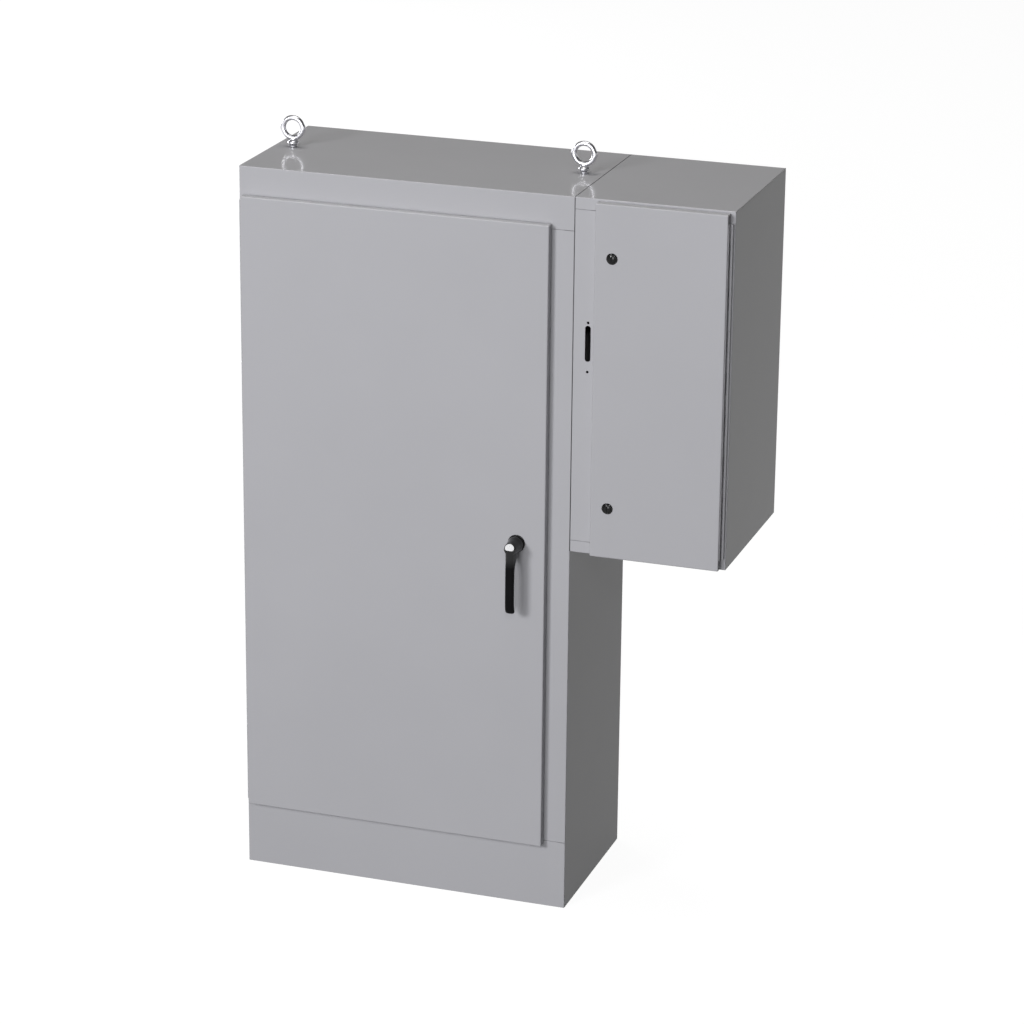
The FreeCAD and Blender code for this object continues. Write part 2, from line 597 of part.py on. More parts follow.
def latch_rod(name):
    """A flat bar with a cross slot for its cam pin, and a pin for the roller at its far end."""
    sign = ROD_SIDES[name]
    away = -sign
    rod_x = ROD_XS[name]
    pin_z = HANDLE_Z + sign * PIN_STEP
    roller_z = ROLLER_ZS[name]
    shoulder = roller_z - away * (d.roller_radius + 2)
    slot = (PIN_STEP - d.yoke_pin_radius - d.yoke_play, d.pin_circle + d.yoke_pin_radius + d.yoke_play)
    rise = d.yoke_pin_radius + d.yoke_play
    depth = (ROD_FRONT, ROD_BACK)
    yoke_x = ordered(HANDLE_X + sign * (slot[0] - d.yoke_web), HANDLE_X + sign * (slot[1] + d.yoke_web))
    slot_x = ordered(HANDLE_X + sign * slot[0], HANDLE_X + sign * slot[1])
    left = rod_x - d.rod_width / 2
    roller_right = left + TONGUE + d.roller_length + 2 * d.roller_side_gap
    centre = (ROD_Y, roller_z)
    whole = join([
        block(yoke_x, depth, (pin_z - rise - d.yoke_web, pin_z + rise + d.yoke_web)),
        block((left, rod_x + d.rod_width / 2), depth, ordered(pin_z, shoulder)),
        block((left, left + TONGUE), depth, ordered(shoulder - away, roller_z + away * TONGUE)),
        drum("x", d.roller_pin_radius, (left + TONGUE / 2, roller_right), centre),
        drum("x", d.roller_pin_radius + 1.5, (roller_right, roller_right + 1.5), centre)])
    keep(f"{name}_latch_rod",
         cut(whole, [block(slot_x, (ROD_FRONT - 1, ROD_BACK + 1), (pin_z - rise, pin_z + rise))]))
    low = left + TONGUE + d.roller_side_gap
    span = (low, low + d.roller_length)
    keep(f"{name}_roller", cut(drum("x", d.roller_radius, span, centre),
                               [drum("x", d.roller_pin_radius + d.run_gap, span, centre)]))


def rod_guide(rod_x, z):
    """An angle on the door with a slot that a rod slides through."""
    half = d.rod_width / 2
    plate = block((rod_x - half - 8, rod_x + half + 8), (DOOR_INNER, ROD_BACK + 4),
                  (z - d.guide_sheet / 2, z + d.guide_sheet / 2))
    foot = block((rod_x - half - 8, rod_x + half + 8), (DOOR_INNER, DOOR_INNER + d.guide_sheet),
                 (z, z + 25))
    slot = block((rod_x - half - d.guide_play, rod_x + half + d.guide_play),
                 (ROD_FRONT - d.guide_play, ROD_BACK + d.guide_play),
                 (z - d.guide_sheet, z + d.guide_sheet))
    return cut(join([plate, foot]), [slot])


for name in ROD_SIDES:
    latch_rod(name)
GUIDE_RISE = d.guide_rise
keep("rod_guides", group([
    rod_guide(ROD_XS["upper"], OPENING[3] - d.guide_inset),
    rod_guide(ROD_XS["upper"], HANDLE_Z + GUIDE_RISE),
    rod_guide(ROD_XS["lower"], HANDLE_Z - GUIDE_RISE),
    rod_guide(ROD_XS["lower"], OPENING[2] + d.guide_inset)]))


# ---------------------------------------------------------------- quarter-turn latches

TURN_CAM_FRONT = FRONT + d.wall + d.cam_gap
TURN_CAM_BACK = TURN_CAM_FRONT + d.turn_cam_sheet
SHANK_BACK = DOOR_INNER + 16
BEZEL_FRONT = DOOR_FRONT - d.bezel_depth


def turn_housing(z):
    """A threaded barrel with a round bezel outside the door."""
    centre = (TURN_X, z)
    return cut(join([
        drum("y", d.bezel_radius, (BEZEL_FRONT + 1.5, DOOR_FRONT), centre),
        cone("y", d.bezel_radius - 1.5, d.bezel_radius, (BEZEL_FRONT, BEZEL_FRONT + 1.5), centre),
        drum("y", d.shank_radius, (DOOR_FRONT, SHANK_BACK), centre)]),
        [drum("y", d.core_radius + d.run_gap, (BEZEL_FRONT - 1, SHANK_BACK + 1), centre)])


def turn_nut(z):
    """The thin nut that holds a housing from inside the door."""
    centre = (TURN_X, z)
    back = DOOR_INNER + d.turn_nut_depth
    return cut(hexagon("y", d.turn_nut_flats, (DOOR_INNER, back), centre),
               [drum("y", d.shank_radius + d.run_gap, (DOOR_INNER - 1, back + 1), centre)])


def turn_core(z):
    """The turning core: slotted head outside, spindle and screw head inside."""
    centre = (TURN_X, z)
    head = BEZEL_FRONT - 0.6
    return cut(join([
        drum("y", d.core_radius, (head, SHANK_BACK + 1), centre),
        drum("y", d.spindle_radius, (SHANK_BACK, TURN_CAM_BACK), centre),
        drum("y", d.spindle_radius + 2, (TURN_CAM_BACK, TURN_CAM_BACK + 3), centre)]),
        [block((TURN_X - 1.5, TURN_X + 1.5), (head - 1, head + 2.5), (z - 7, z + 7))])


keep("latch_housings", group([turn_housing(z) for z in TURN_ZS.values()]))
keep("latch_nuts", group([turn_nut(z) for z in TURN_ZS.values()]))
for name, z in TURN_ZS.items():
    keep(f"{name}_turn_core", turn_core(z))
    keep(f"{name}_turn_cam", cut(
        block((TURN_X - d.turn_cam_width / 2, TURN_X + d.turn_cam_width / 2),
              (TURN_CAM_FRONT, TURN_CAM_BACK),
              (z - d.turn_cam_length, z + d.turn_cam_width / 2)),
        [drum("y", d.spindle_radius + d.run_gap, (TURN_CAM_FRONT - 1, TURN_CAM_BACK + 1), (TURN_X, z))]))


# ---------------------------------------------------------------- lifting eyes

def lifting_eye(x):
    """A forged eye bolt: a ring on a flanged neck, with a threaded shank through the roof."""
    ring_z = TOP + d.eye_height
    ring = doc.addObject("Part::Torus", "ring")
    bind(ring, "Radius1", d.eye_ring)
    bind(ring, "Radius2", d.eye_wire)
    stand(ring, "y", size(0), (x, ring_z))
    foot = (x, size(0))
    neck = ring_z - d.eye_ring
    flange = TOP + d.eye_collar_rise
    brow = flange + d.eye_flange
    land = drum("y", d.eye_bore, (-d.eye_wire * 2, d.eye_wire * 2), (x, ring_z))
    return cut(join([ring, cone("z", d.eye_shoulder, d.eye_wire, (brow, neck), foot),
                     drum("z", d.eye_shoulder, (flange, brow), foot),
                     drum("z", d.eye_collar, (TOP, flange), foot),
                     drum("z", d.eye_shank, (TOP - d.eye_reach, TOP + 2), foot)]), [land])


def washer_nut(x):
    """A washer and nut, made in one, under the roof."""
    under = TOP - d.wall
    foot = (x, size(0))
    washer = drum("z", d.eye_washer, (under - d.eye_washer_sheet, under), foot)
    hexagon_part = hexagon("z", d.eye_nut_flats, (under - d.eye_nut_depth, under - 2), foot)
    bore = drum("z", d.eye_shank + d.run_gap, (under - d.eye_nut_depth - 1, under + 1), foot)
    return cut(join([washer, hexagon_part]), [bore])


keep("lifting_eyes", group([lifting_eye(x) for x in EYES]))
keep("lifting_eye_nuts", group([washer_nut(x) for x in EYES]))


# ---------------------------------------------------------------- mounting panels

studs, bolts, nuts = [], [], []


def nut(axis, span, centre):
    """A hexagon nut with a clear bore for its bolt."""
    return cut(hexagon(axis, d.nut_flats, span, centre),
               [drum(axis, d.bolt_radius + d.run_gap, (span[0] - 1, span[1] + 1), centre)])


def mounting_panel(label, x, z):
    """A flat plate held off the back wall by four collar studs."""
    places = [(x[a] + (d.stud_inset if a == 0 else -d.stud_inset),
               z[b] + (d.stud_inset if b == 0 else -d.stud_inset)) for a in (0, 1) for b in (0, 1)]
    holes = []
    for centre in places:
        holes.append(drum("y", d.stud_radius + d.bolt_gap, (PANEL_FRONT - 1, PANEL_BACK + 1), centre))
        studs.append(join([drum("y", d.collar_radius, (PANEL_BACK, BACK - d.wall), centre),
                           drum("y", d.stud_radius, (PANEL_FRONT - d.stud_reach, BACK - d.wall), centre)]))
        nuts.append(nut("y", (PANEL_FRONT - d.nut_depth, PANEL_FRONT), centre))
    keep(label, cut(block(x, (PANEL_FRONT, PANEL_BACK), z), holes))


mounting_panel("main_mounting_panel", (LEFT + d.panel_edge, RIGHT - d.panel_edge),
               (d.panel_foot, TOP - d.panel_foot))
mounting_panel("side_mounting_panel", (RIGHT + d.panel_edge, SIDE_RIGHT - d.panel_edge),
               (SIDE_BOTTOM + d.panel_edge, TOP - d.panel_edge))
keep("panel_studs", group(studs))


# ---------------------------------------------------------------- string fuses, busbars and feeders

STRING_XS = [(index - (STRINGS - 1) / 2) * d.string_pitch for index in range(STRINGS)]
BUS_Z = (BUS_HEIGHT - d.bus_width / 2, BUS_HEIGHT + d.bus_width / 2)
BASE_TOP = BUS_Z[1] + 5
BASE_BOTTOM = BASE_TOP - d.fuse_base_height
FUSE_Y = BUS_FRONT - d.fuse_seat
CLIP_ZS = [BUS_HEIGHT, BUS_HEIGHT - d.fuse_length + 2 * d.clip_inset]
RISER_X = RIGHT - d.riser_edge
POLE_XS = [SWITCH_X - d.pole_pitch / 2, SWITCH_X + d.pole_pitch / 2]
PLUS_END = STRING_XS[-1] + 60
TERMINAL_Z = {"top": (SWITCH_TOP, SWITCH_TOP + d.terminal_reach),
              "bottom": (SWITCH_BOTTOM - d.terminal_reach, SWITCH_BOTTOM)}
half_feeder = d.feeder_width / 2


def clip(x, z):
    """A spring clip that grips a fuse's end cap, open to the front."""
    body = block((x - d.clip_width / 2, x + d.clip_width / 2), (BUS_FRONT - d.clip_depth, BUS_FRONT),
                 (z - d.clip_height / 2, z + d.clip_height / 2))
    return cut(body,
               [drum("z", d.fuse_radius + d.run_gap, (z - d.clip_height, z + d.clip_height), (x, FUSE_Y))])


def fuse(x):
    """A cartridge fuse: an insulating body between two larger end caps."""
    low, high = CLIP_ZS[1] - d.clip_inset, CLIP_ZS[0] + d.clip_inset
    cap = 2 * d.clip_inset
    return join([drum("z", d.fuse_radius - 1, (low + cap - 1, high - cap + 1), (x, FUSE_Y)),
                 drum("z", d.fuse_radius, (low, low + cap), (x, FUSE_Y)),
                 drum("z", d.fuse_radius, (high - cap, high), (x, FUSE_Y))])


def lug(x, low):
    """A box lug on a bar's front face: a wire bore from below and a clamping screw in front."""
    front = BUS_FRONT - d.lug_depth
    span = (low, low + d.lug_height)
    middle = low + d.lug_height / 2
    body = join([block((x - d.lug_width / 2, x + d.lug_width / 2), (front, BUS_FRONT), span),
                 drum("y", 6, (front - 3, front + 1), (x, middle))])
    return cut(body,
               [drum("z", d.lug_bore, (low - 1, low + d.lug_height - 6), (x, front + d.lug_depth / 2))])


def strap(x, z, width):
    return block((x - width / 2, x + width / 2), (BUS_FRONT, BUS_BACK), z)


keep("fuse_bases", group([
    block((x - d.fuse_base_width / 2, x + d.fuse_base_width / 2), (BUS_BACK, PANEL_FRONT),
          (BASE_BOTTOM, BASE_TOP))
    for x in STRING_XS]))
keep("fuse_clips", group([clip(x, z) for x in STRING_XS for z in CLIP_ZS]))
keep("string_fuses", group([fuse(x) for x in STRING_XS]))
straps = [strap(x, (BASE_BOTTOM + 5, CLIP_ZS[1] + 10), d.clip_width) for x in STRING_XS]
straps += [strap(x, z, d.feeder_width) for x in POLE_XS for z in TERMINAL_Z.values()]
lugs = [lug(x, BASE_BOTTOM + 5) for x in STRING_XS]
lugs += [lug(x, NEGATIVE_HEIGHT - d.lug_height / 2) for x in STRING_XS]
lugs += [lug(x, TERMINAL_Z["bottom"][0] - 4) for x in POLE_XS]
keep("wire_lugs", group(lugs))
MINUS_Z = (NEGATIVE_HEIGHT - d.bus_width / 2, NEGATIVE_HEIGHT + d.bus_width / 2)
keep("insulators",
     group([drum("y", d.insulator_radius, (BUS_BACK, PANEL_FRONT), (STRING_XS[index], NEGATIVE_HEIGHT))
                          for index in (0, 2, 5, 7)]))

LAPS = {"plus_bus": (PLUS_END - d.feeder_lap / 2, BUS_HEIGHT + 7.5),
        "minus_bus": (RISER_X, NEGATIVE_HEIGHT),
        "minus_pole": (POLE_XS[0], SWITCH_TOP + 18), "plus_pole": (POLE_XS[1], SWITCH_TOP + 18)}


def bar(label, corners, holes):
    """A flat copper bar cut to an outline, with bolt holes."""
    body = doc.addObject("PartDesign::Body", label)
    back = BUS_FRONT if label.startswith("feeder") else BUS_BACK
    pad(body, "XZ_Plane", -back, d.bus_sheet, corners)
    pierce(body, "XZ_Plane", d.bus_sheet - back, d.bus_sheet,
           circles=[(*LAPS[name], d.bolt_radius + d.bolt_gap) for name in holes])
    keep(label, body)


bar("positive_busbar", rectangle((STRING_XS[0] - 30, PLUS_END), BUS_Z), ["plus_bus"])
bar("negative_busbar", rectangle((STRING_XS[0] - 30, RISER_X + half_feeder), MINUS_Z), ["minus_bus"])
DROP = SWITCH_TOP + 5
plus = (PLUS_HEIGHT - half_feeder, PLUS_HEIGHT + half_feeder)
minus = (MINUS_HEIGHT - half_feeder, MINUS_HEIGHT + half_feeder)
bar("feeder_positive",
    [(PLUS_END - d.feeder_lap, plus[0]), (POLE_XS[1] - half_feeder, plus[0]),
     (POLE_XS[1] - half_feeder, DROP),
     (POLE_XS[1] + half_feeder, DROP), (POLE_XS[1] + half_feeder, plus[1]),
     (PLUS_END - d.feeder_lap, plus[1])],
    ["plus_bus", "plus_pole"])
bar("feeder_negative",
    [(RISER_X - half_feeder, MINUS_Z[0]), (RISER_X + half_feeder, MINUS_Z[0]),
     (RISER_X + half_feeder, minus[0]),
     (POLE_XS[0] - half_feeder, minus[0]), (POLE_XS[0] - half_feeder, DROP),
     (POLE_XS[0] + half_feeder, DROP),
     (POLE_XS[0] + half_feeder, minus[1]), (RISER_X - half_feeder, minus[1])],
    ["minus_bus", "minus_pole"])
pole_holes = [drum("y", d.bolt_radius + d.bolt_gap, (BUS_FRONT - 1, BUS_BACK + 1), LAPS[name])
              for name in ("minus_pole", "plus_pole")]
tops = [cut(straps[STRINGS + 2 * index], [hole]) for index, hole in enumerate(pole_holes)]
keep("copper_straps", group(straps[:STRINGS] + tops + [straps[STRINGS + 1], straps[STRINGS + 3]]))


def bolt(axis, head, shank, centre):
    """A hexagon bolt: the head's span and the shank's span along its axis."""
    return join([hexagon(axis, d.nut_flats, head, centre), drum(axis, d.bolt_radius, shank, centre)])


for centre in LAPS.values():
    head = (FEEDER_FRONT - 5.3, FEEDER_FRONT)
    bolts.append(bolt("y", head, (FEEDER_FRONT - 1, BUS_BACK + 8), centre))
    nuts.append(nut("y", (BUS_BACK, BUS_BACK + d.nut_depth), centre))


# ---------------------------------------------------------------- surge arresters, ground bar, switch

RAIL_FRONT = PANEL_FRONT - 7.5
RAIL_SPAN = (-d.rail_length / 2, d.rail_length / 2)


def din_rail():
    """A 35 mm top-hat rail."""
    body = doc.addObject("PartDesign::Body", "din_rail")
    middle, brim, crown, sheet = d.rail_height, 17.5, 13.5, 1.2
    pad(body, "YZ_Plane", RAIL_SPAN[0], d.rail_length,
        [(RAIL_FRONT, middle - brim), (RAIL_FRONT + sheet, middle - brim),
         (RAIL_FRONT + sheet, middle - crown),
         (PANEL_FRONT, middle - crown), (PANEL_FRONT, middle + crown), (RAIL_FRONT + sheet, middle + crown),
         (RAIL_FRONT + sheet, middle + brim), (RAIL_FRONT, middle + brim),
         (RAIL_FRONT, middle + crown - sheet),
         (PANEL_FRONT - sheet, middle + crown - sheet), (PANEL_FRONT - sheet, middle - crown + sheet),
         (RAIL_FRONT, middle - crown + sheet)])
    return body


def arrester(x):
    """A rail-mounted module with a stepped front."""
    half = d.arrester_width / 2
    step = RAIL_FRONT - d.arrester_depth * 0.65
    middle = d.rail_height
    return join([
        block((x - half, x + half), (step, RAIL_FRONT),
              (middle - d.arrester_height / 2, middle + d.arrester_height / 2)),
        block((x - half, x + half), (RAIL_FRONT - d.arrester_depth, step + 1),
              (middle - d.arrester_height / 4, middle + d.arrester_height / 4))])


keep("din_rail", din_rail())
keep("surge_arresters", group([arrester((index - 1) * (d.arrester_width + 1)) for index in range(3)]))


def ground_bar():
    """A drilled copper bar on two posts."""
    front = PANEL_FRONT - 30
    z = (d.ground_height - 12, d.ground_height + 12)
    pieces = [block((-d.ground_length / 2, d.ground_length / 2), (front, front + 8), z)]
    pieces += [drum("y", 8, (front + 4, PANEL_FRONT), (sign * (d.ground_length / 2 - 15), d.ground_height))
               for sign in (-1, 1)]
    pitch = (d.ground_length - 80) / 7
    holes = [drum("y", 3.3, (front - 1, front + 9),
                  ((index - 3.5) * pitch, d.ground_height)) for index in range(8)]
    return cut(join(pieces), holes)


keep("ground_bar", ground_bar())

SWITCH_FRONT = PANEL_FRONT - d.switch_depth
PIVOT_Y = SWITCH_FRONT + d.toggle_pivot
PIVOT = (PIVOT_Y, TOGGLE_HEIGHT)
PIVOT_HALF = 15
switch_half = d.switch_width / 2
keep("switch_body", cut(
    block((SWITCH_X - switch_half, SWITCH_X + switch_half), (SWITCH_FRONT, PANEL_FRONT),
          (SWITCH_BOTTOM, SWITCH_TOP)),
    [join([block((SWITCH_X - 9, SWITCH_X + 9), (SWITCH_FRONT - 1, SWITCH_FRONT + 26),
                 (TOGGLE_HEIGHT - 32, TOGGLE_HEIGHT + 32)),
           drum("x", 3 + d.run_gap, (SWITCH_X - PIVOT_HALF, SWITCH_X + PIVOT_HALF), PIVOT)])]))

toggle = join([block((-7, 7), (-d.toggle_length, 6), (-6, 6)),
               drum("x", 3, (0.3 - PIVOT_HALF, PIVOT_HALF - 0.3), (0, 0))])
toggle.Placement = Placement(Vector(), Rotation(Vector(1, 0, 0), SIZES["toggle_tilt"]))
for axis, place in zip("xyz", (SWITCH_X, *PIVOT)):
    bind(toggle, f"Placement.Base.{axis}", place)
keep("switch_toggle", toggle)


# ---------------------------------------------------------------- gland plate and loose fasteners

PLATE_TOP = d.wall + d.plate_sheet
GLAND_BOLTS = [(x * (d.gland_width / 2 + d.gland_margin / 2), y * (d.gland_depth / 2 + d.gland_margin / 2))
               for x in (-1, 1) for y in (-1, 1)]
clear = d.bolt_radius + d.bolt_gap
pierce(main["floor"], "XY_Plane", d.wall, d.wall, circles=[(x, y, clear) for x, y in GLAND_BOLTS])
half_x = d.gland_width / 2 + d.gland_margin
half_y = d.gland_depth / 2 + d.gland_margin
keep("gland_plate", cut(block((-half_x, half_x), (-half_y, half_y), (d.wall, PLATE_TOP)),
                        [drum("z", clear, (d.wall - 1, PLATE_TOP + 1), centre) for centre in GLAND_BOLTS]))
for centre in GLAND_BOLTS:
    bolts.append(bolt("z", (PLATE_TOP, PLATE_TOP + 5.3), (0.5, PLATE_TOP + 1), centre))
for centre in COUPLING_BOLTS:
    inner, outer = RIGHT - d.wall, RIGHT + d.wall
    bolts.append(bolt("x", (inner - 5.3, inner), (inner - 1, outer + 8), centre))
    nuts.append(nut("x", (outer, outer + d.nut_depth), centre))
keep("m8_bolts", group(bolts))
keep("m8_nuts", group(nuts))


# ---------------------------------------------------------------- build, test and write

doc.recompute()
for thing in doc.Objects:
    if "Invalid" in thing.State or "Error" in thing.State:
        raise ValueError(f"{thing.Label} failed: {thing.State}")
labels = [piece.Label for piece in NODES]
if len(set(labels)) != len(labels):
    raise ValueError("two sub-parts share a label")
os.makedirs("parts", exist_ok=True)
for piece in NODES:
    if piece.Shape.isNull() or not piece.Shape.isValid():
        raise ValueError(f"{piece.Label} has no valid shape")
    piece.Shape.exportStep(f"parts/{piece.Label}.step")
print(len(NODES), "nodes,", sum(len(piece.Shape.Solids) for piece in NODES), "solids")
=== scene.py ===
import math

import bmesh
import bpy
from mathutils import Matrix, Vector


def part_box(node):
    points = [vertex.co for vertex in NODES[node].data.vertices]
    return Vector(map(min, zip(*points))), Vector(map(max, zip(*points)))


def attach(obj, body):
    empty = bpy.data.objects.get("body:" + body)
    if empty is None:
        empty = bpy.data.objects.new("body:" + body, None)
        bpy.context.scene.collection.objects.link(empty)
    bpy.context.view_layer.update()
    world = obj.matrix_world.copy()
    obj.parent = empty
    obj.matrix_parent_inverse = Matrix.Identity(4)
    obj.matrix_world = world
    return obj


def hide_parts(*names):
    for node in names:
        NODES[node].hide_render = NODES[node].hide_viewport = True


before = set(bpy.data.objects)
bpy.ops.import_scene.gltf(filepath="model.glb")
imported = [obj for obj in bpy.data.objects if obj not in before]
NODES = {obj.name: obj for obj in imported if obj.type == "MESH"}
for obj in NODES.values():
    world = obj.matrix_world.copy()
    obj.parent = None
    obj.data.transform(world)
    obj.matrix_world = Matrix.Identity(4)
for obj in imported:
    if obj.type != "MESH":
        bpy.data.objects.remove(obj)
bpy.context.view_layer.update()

MM = 0.001


# ---------------------------------------------------------------- camera

AZIMUTH = math.radians(18.58)
ELEVATION = math.radians(19.14)
ROLL = math.radians(0.593)
CAMERA_PLACE = (2.9768, -8.2540, 3.9721)
LENS_MM = 129.94
SENSOR_MM = 36.0


def make_camera():
    """The photograph's viewpoint: front, from the right and above."""
    forward = Vector((-math.sin(AZIMUTH) * math.cos(ELEVATION),
                      math.cos(AZIMUTH) * math.cos(ELEVATION),
                      -math.sin(ELEVATION)))
    right = forward.cross(Vector((0, 0, 1))).normalized()
    up = right.cross(forward)
    rolled_right = right * math.cos(ROLL) + up * math.sin(ROLL)
    rolled_up = up * math.cos(ROLL) - right * math.sin(ROLL)
    turn = Matrix((rolled_right, rolled_up, -forward)).transposed()
    data = bpy.data.cameras.new("camera")
    data.lens = LENS_MM
    data.sensor_width = SENSOR_MM
    camera = bpy.data.objects.new("camera", data)
    camera.matrix_world = Matrix.Translation(CAMERA_PLACE) @ turn.to_4x4()
    bpy.context.scene.collection.objects.link(camera)
    bpy.context.scene.camera = camera


# ---------------------------------------------------------------- node trees

BEVEL_SAMPLES = 4
COAT_ROUGHNESS = 0.06
FINE_TO_CLOUD = 14          # how much finer the roughness varies than the colour does
CHIP_SCALE = 160.0
MIX_NUMBERS = (2, 3)        # a Mix node's inputs for two numbers
MIX_COLOURS = (6, 7)        # and for two colours


def feed(tree, socket, value):
    """Links an input to a socket, or gives it a plain value."""
    if isinstance(value, bpy.types.NodeSocket):
        tree.links.new(value, socket)
    else:
        socket.default_value = value


def add_node(tree, kind, inputs=None, **settings):
    """A shader node; inputs are plain values or sockets to link from."""
    node = tree.nodes.new(kind)
    for name, value in settings.items():
        setattr(node, name, value)
    for name, value in (inputs or {}).items():
        feed(tree, node.inputs[name], value)
    return node


def noise(tree, place, scale, detail=3.0, rough=0.55):
    """Soft noise from 0 to 1, in cycles per metre."""
    inputs = {"Vector": place, "Scale": scale, "Detail": detail, "Roughness": rough}
    return add_node(tree, "ShaderNodeTexNoise", inputs).outputs["Fac"]


def spread(tree, value, low, high, start=0.35, end=0.65):
    """Takes start..end of a value to low..high."""
    inputs = {"Value": value, "From Min": start, "From Max": end, "To Min": low, "To Max": high}
    return add_node(tree, "ShaderNodeMapRange", inputs).outputs[0]


def maths(tree, operation, one, other=0.0):
    """One sum on two numbers or sockets."""
    node = add_node(tree, "ShaderNodeMath", operation=operation)
    for socket, value in zip(node.inputs, (one, other)):
        feed(tree, socket, value)
    return node.outputs[0]


def blend_colours(tree, factor, *colours):
    """A mix of two colours by a socket; a colour is three numbers or a socket."""
    node = add_node(tree, "ShaderNodeMix", data_type="RGBA")
    tree.links.new(factor, node.inputs[0])
    for index, colour in zip(MIX_COLOURS, colours):
        is_socket = isinstance(colour, bpy.types.NodeSocket)
        feed(tree, node.inputs[index], colour if is_socket else (*colour, 1.0))
    return node.outputs[2]


def edge_mask(tree, radius):
    """The bevelled normal, and a mask that is 1 along sharp edges."""
    bevel = add_node(tree, "ShaderNodeBevel", {"Radius": radius}, samples=BEVEL_SAMPLES).outputs[0]
    flat = add_node(tree, "ShaderNodeNewGeometry").outputs["Normal"]
    dot = add_node(tree, "ShaderNodeVectorMath", {0: bevel, 1: flat}, operation="DOT_PRODUCT")
    return bevel, spread(tree, dot.outputs["Value"], 1.0, 0.0, 0.75, 0.995)


def finish_material(name, colour, rough, metal=0.0, clouds=0.03, cloud_scale=4.0, grain_scale=900.0,
                    grain_depth=0.00002, rough_swing=0.05, edge=None, edge_radius=0.0012,
                    specular=0.5, second=None):
    """A procedural finish: clouded colour, blotches of a second one, patchy roughness, fine grain
    and worn edges."""
    material = bpy.data.materials.new(name)
    material.use_nodes = True
    tree = material.node_tree
    tree.nodes.clear()
    place = add_node(tree, "ShaderNodeTexCoord").outputs["Object"]
    cloud = noise(tree, place, cloud_scale)
    dark = [c * (1 - clouds) for c in colour]
    light = [min(1.0, c * (1 + clouds)) for c in colour]
    shade = blend_colours(tree, spread(tree, cloud, 0.0, 1.0), dark, light)
    if second is not None:
        blotch = noise(tree, place, 30.0, 5.0, 0.65)
        shade = blend_colours(tree, spread(tree, blotch, 0.0, 0.6, 0.5, 0.7), shade, second)
    fine = noise(tree, place, cloud_scale * FINE_TO_CLOUD, 4.0)
    roughness = spread(tree, fine, rough - rough_swing, rough + rough_swing)
    normal, mask = edge_mask(tree, edge_radius)
    if edge is not None:
        chipped = maths(tree, "MULTIPLY", mask, spread(tree, noise(tree, place, CHIP_SCALE), 0.1, 0.9))
        shade = blend_colours(tree, chipped, shade, edge)
    grain = noise(tree, place, grain_scale, 2.0)
    bump = add_node(tree, "ShaderNodeBump",
                    {"Strength": 1.0, "Distance": grain_depth, "Height": grain, "Normal": normal})
    shader = add_node(tree, "ShaderNodeBsdfPrincipled",
                      {"Base Color": shade, "Roughness": roughness, "Metallic": metal,
                       "Coat Weight": 0.0, "Coat Roughness": COAT_ROUGHNESS,
                       "Specular IOR Level": specular, "Normal": bump.outputs[0]})
    output = add_node(tree, "ShaderNodeOutputMaterial")
    tree.links.new(shader.outputs[0], output.inputs["Surface"])
    return material


def shader_and_height(material):
    """A finish's shader, and a socket with the height of a point at rest."""
    tree = material.node_tree
    shader = next(node for node in tree.nodes if node.type == "BSDF_PRINCIPLED")
    place = add_node(tree, "ShaderNodeTexCoord").outputs["Object"]
    return shader, add_node(tree, "ShaderNodeSeparateXYZ", {0: place}).outputs["Z"]


# ---------------------------------------------------------------- mesh helpers

TURN_STEPS = 72
POLE_RADIUS = 0.05 * MM     # a turned form's ends close to this instead of a point
SMOOTH_ROUNDS = 4


def new_object(name, bm):
    """Turns mesh code into a smooth object at the origin of the row frame."""
    bmesh.ops.recalc_face_normals(bm, faces=bm.faces)
    mesh = bpy.data.meshes.new(name)
    bm.to_mesh(mesh)
    bm.free()
    for face in mesh.polygons:
        face.use_smooth = True
    thing = bpy.data.objects.new(name, mesh)
    bpy.context.scene.collection.objects.link(thing)
    return thing


def bridge(bm, one, other):
    """Faces between two rings of vertices."""
    for i in range(len(one)):
        after = (i + 1) % len(one)
        bm.faces.new((one[i], one[after], other[after], other[i]))


def loft(bm, rings, closed=False):
    """Skins a row of rings of points; caps both ends, or joins the last to the first."""
    made = [[bm.verts.new(point) for point in ring] for ring in rings]
    for one, other in zip(made, made[1:]):
        bridge(bm, one, other)
    if closed:
        bridge(bm, made[-1], made[0])
    else:
        bm.faces.new(made[0])
        bm.faces.new(made[-1])


def turned(bm, axis, centre, profile, closed=False):
    """A form turned round an axis along "y" or "z"; profile is a row of (radius, place on the axis)."""
    rings = []
    for radius, along in profile:
        radius = max(radius, POLE_RADIUS)
        ring = []
        for i in range(TURN_STEPS):
            angle = math.tau * i / TURN_STEPS
            u, v = centre[0] + radius * math.cos(angle), centre[1] + radius * math.sin(angle)
            ring.append(Vector((u, along, v)) if axis == "y" else Vector((u, v, along)))
        rings.append(ring)
    loft(bm, rings, closed)


def shoulder(middle_r, middle_t, radius, end, steps=6):
    """A rounded shoulder for a turned profile, from straight outwards to an angle in degrees."""
    points = []
    for i in range(steps + 1):
        angle = math.radians(end * i / steps)
        points.append((middle_r + radius * math.cos(angle), middle_t + radius * math.sin(angle)))
    return points


def superellipse(half_x, half_y, power, steps=40):
    """A rounded rectangle's outline round its centre."""
    points = []
    for i in range(steps):
        angle = math.tau * i / steps
        c, s = math.cos(angle), math.sin(angle)
        points.append((half_x * math.copysign(abs(c) ** (2 / power), c),
                       half_y * math.copysign(abs(s) ** (2 / power), s)))
    return points


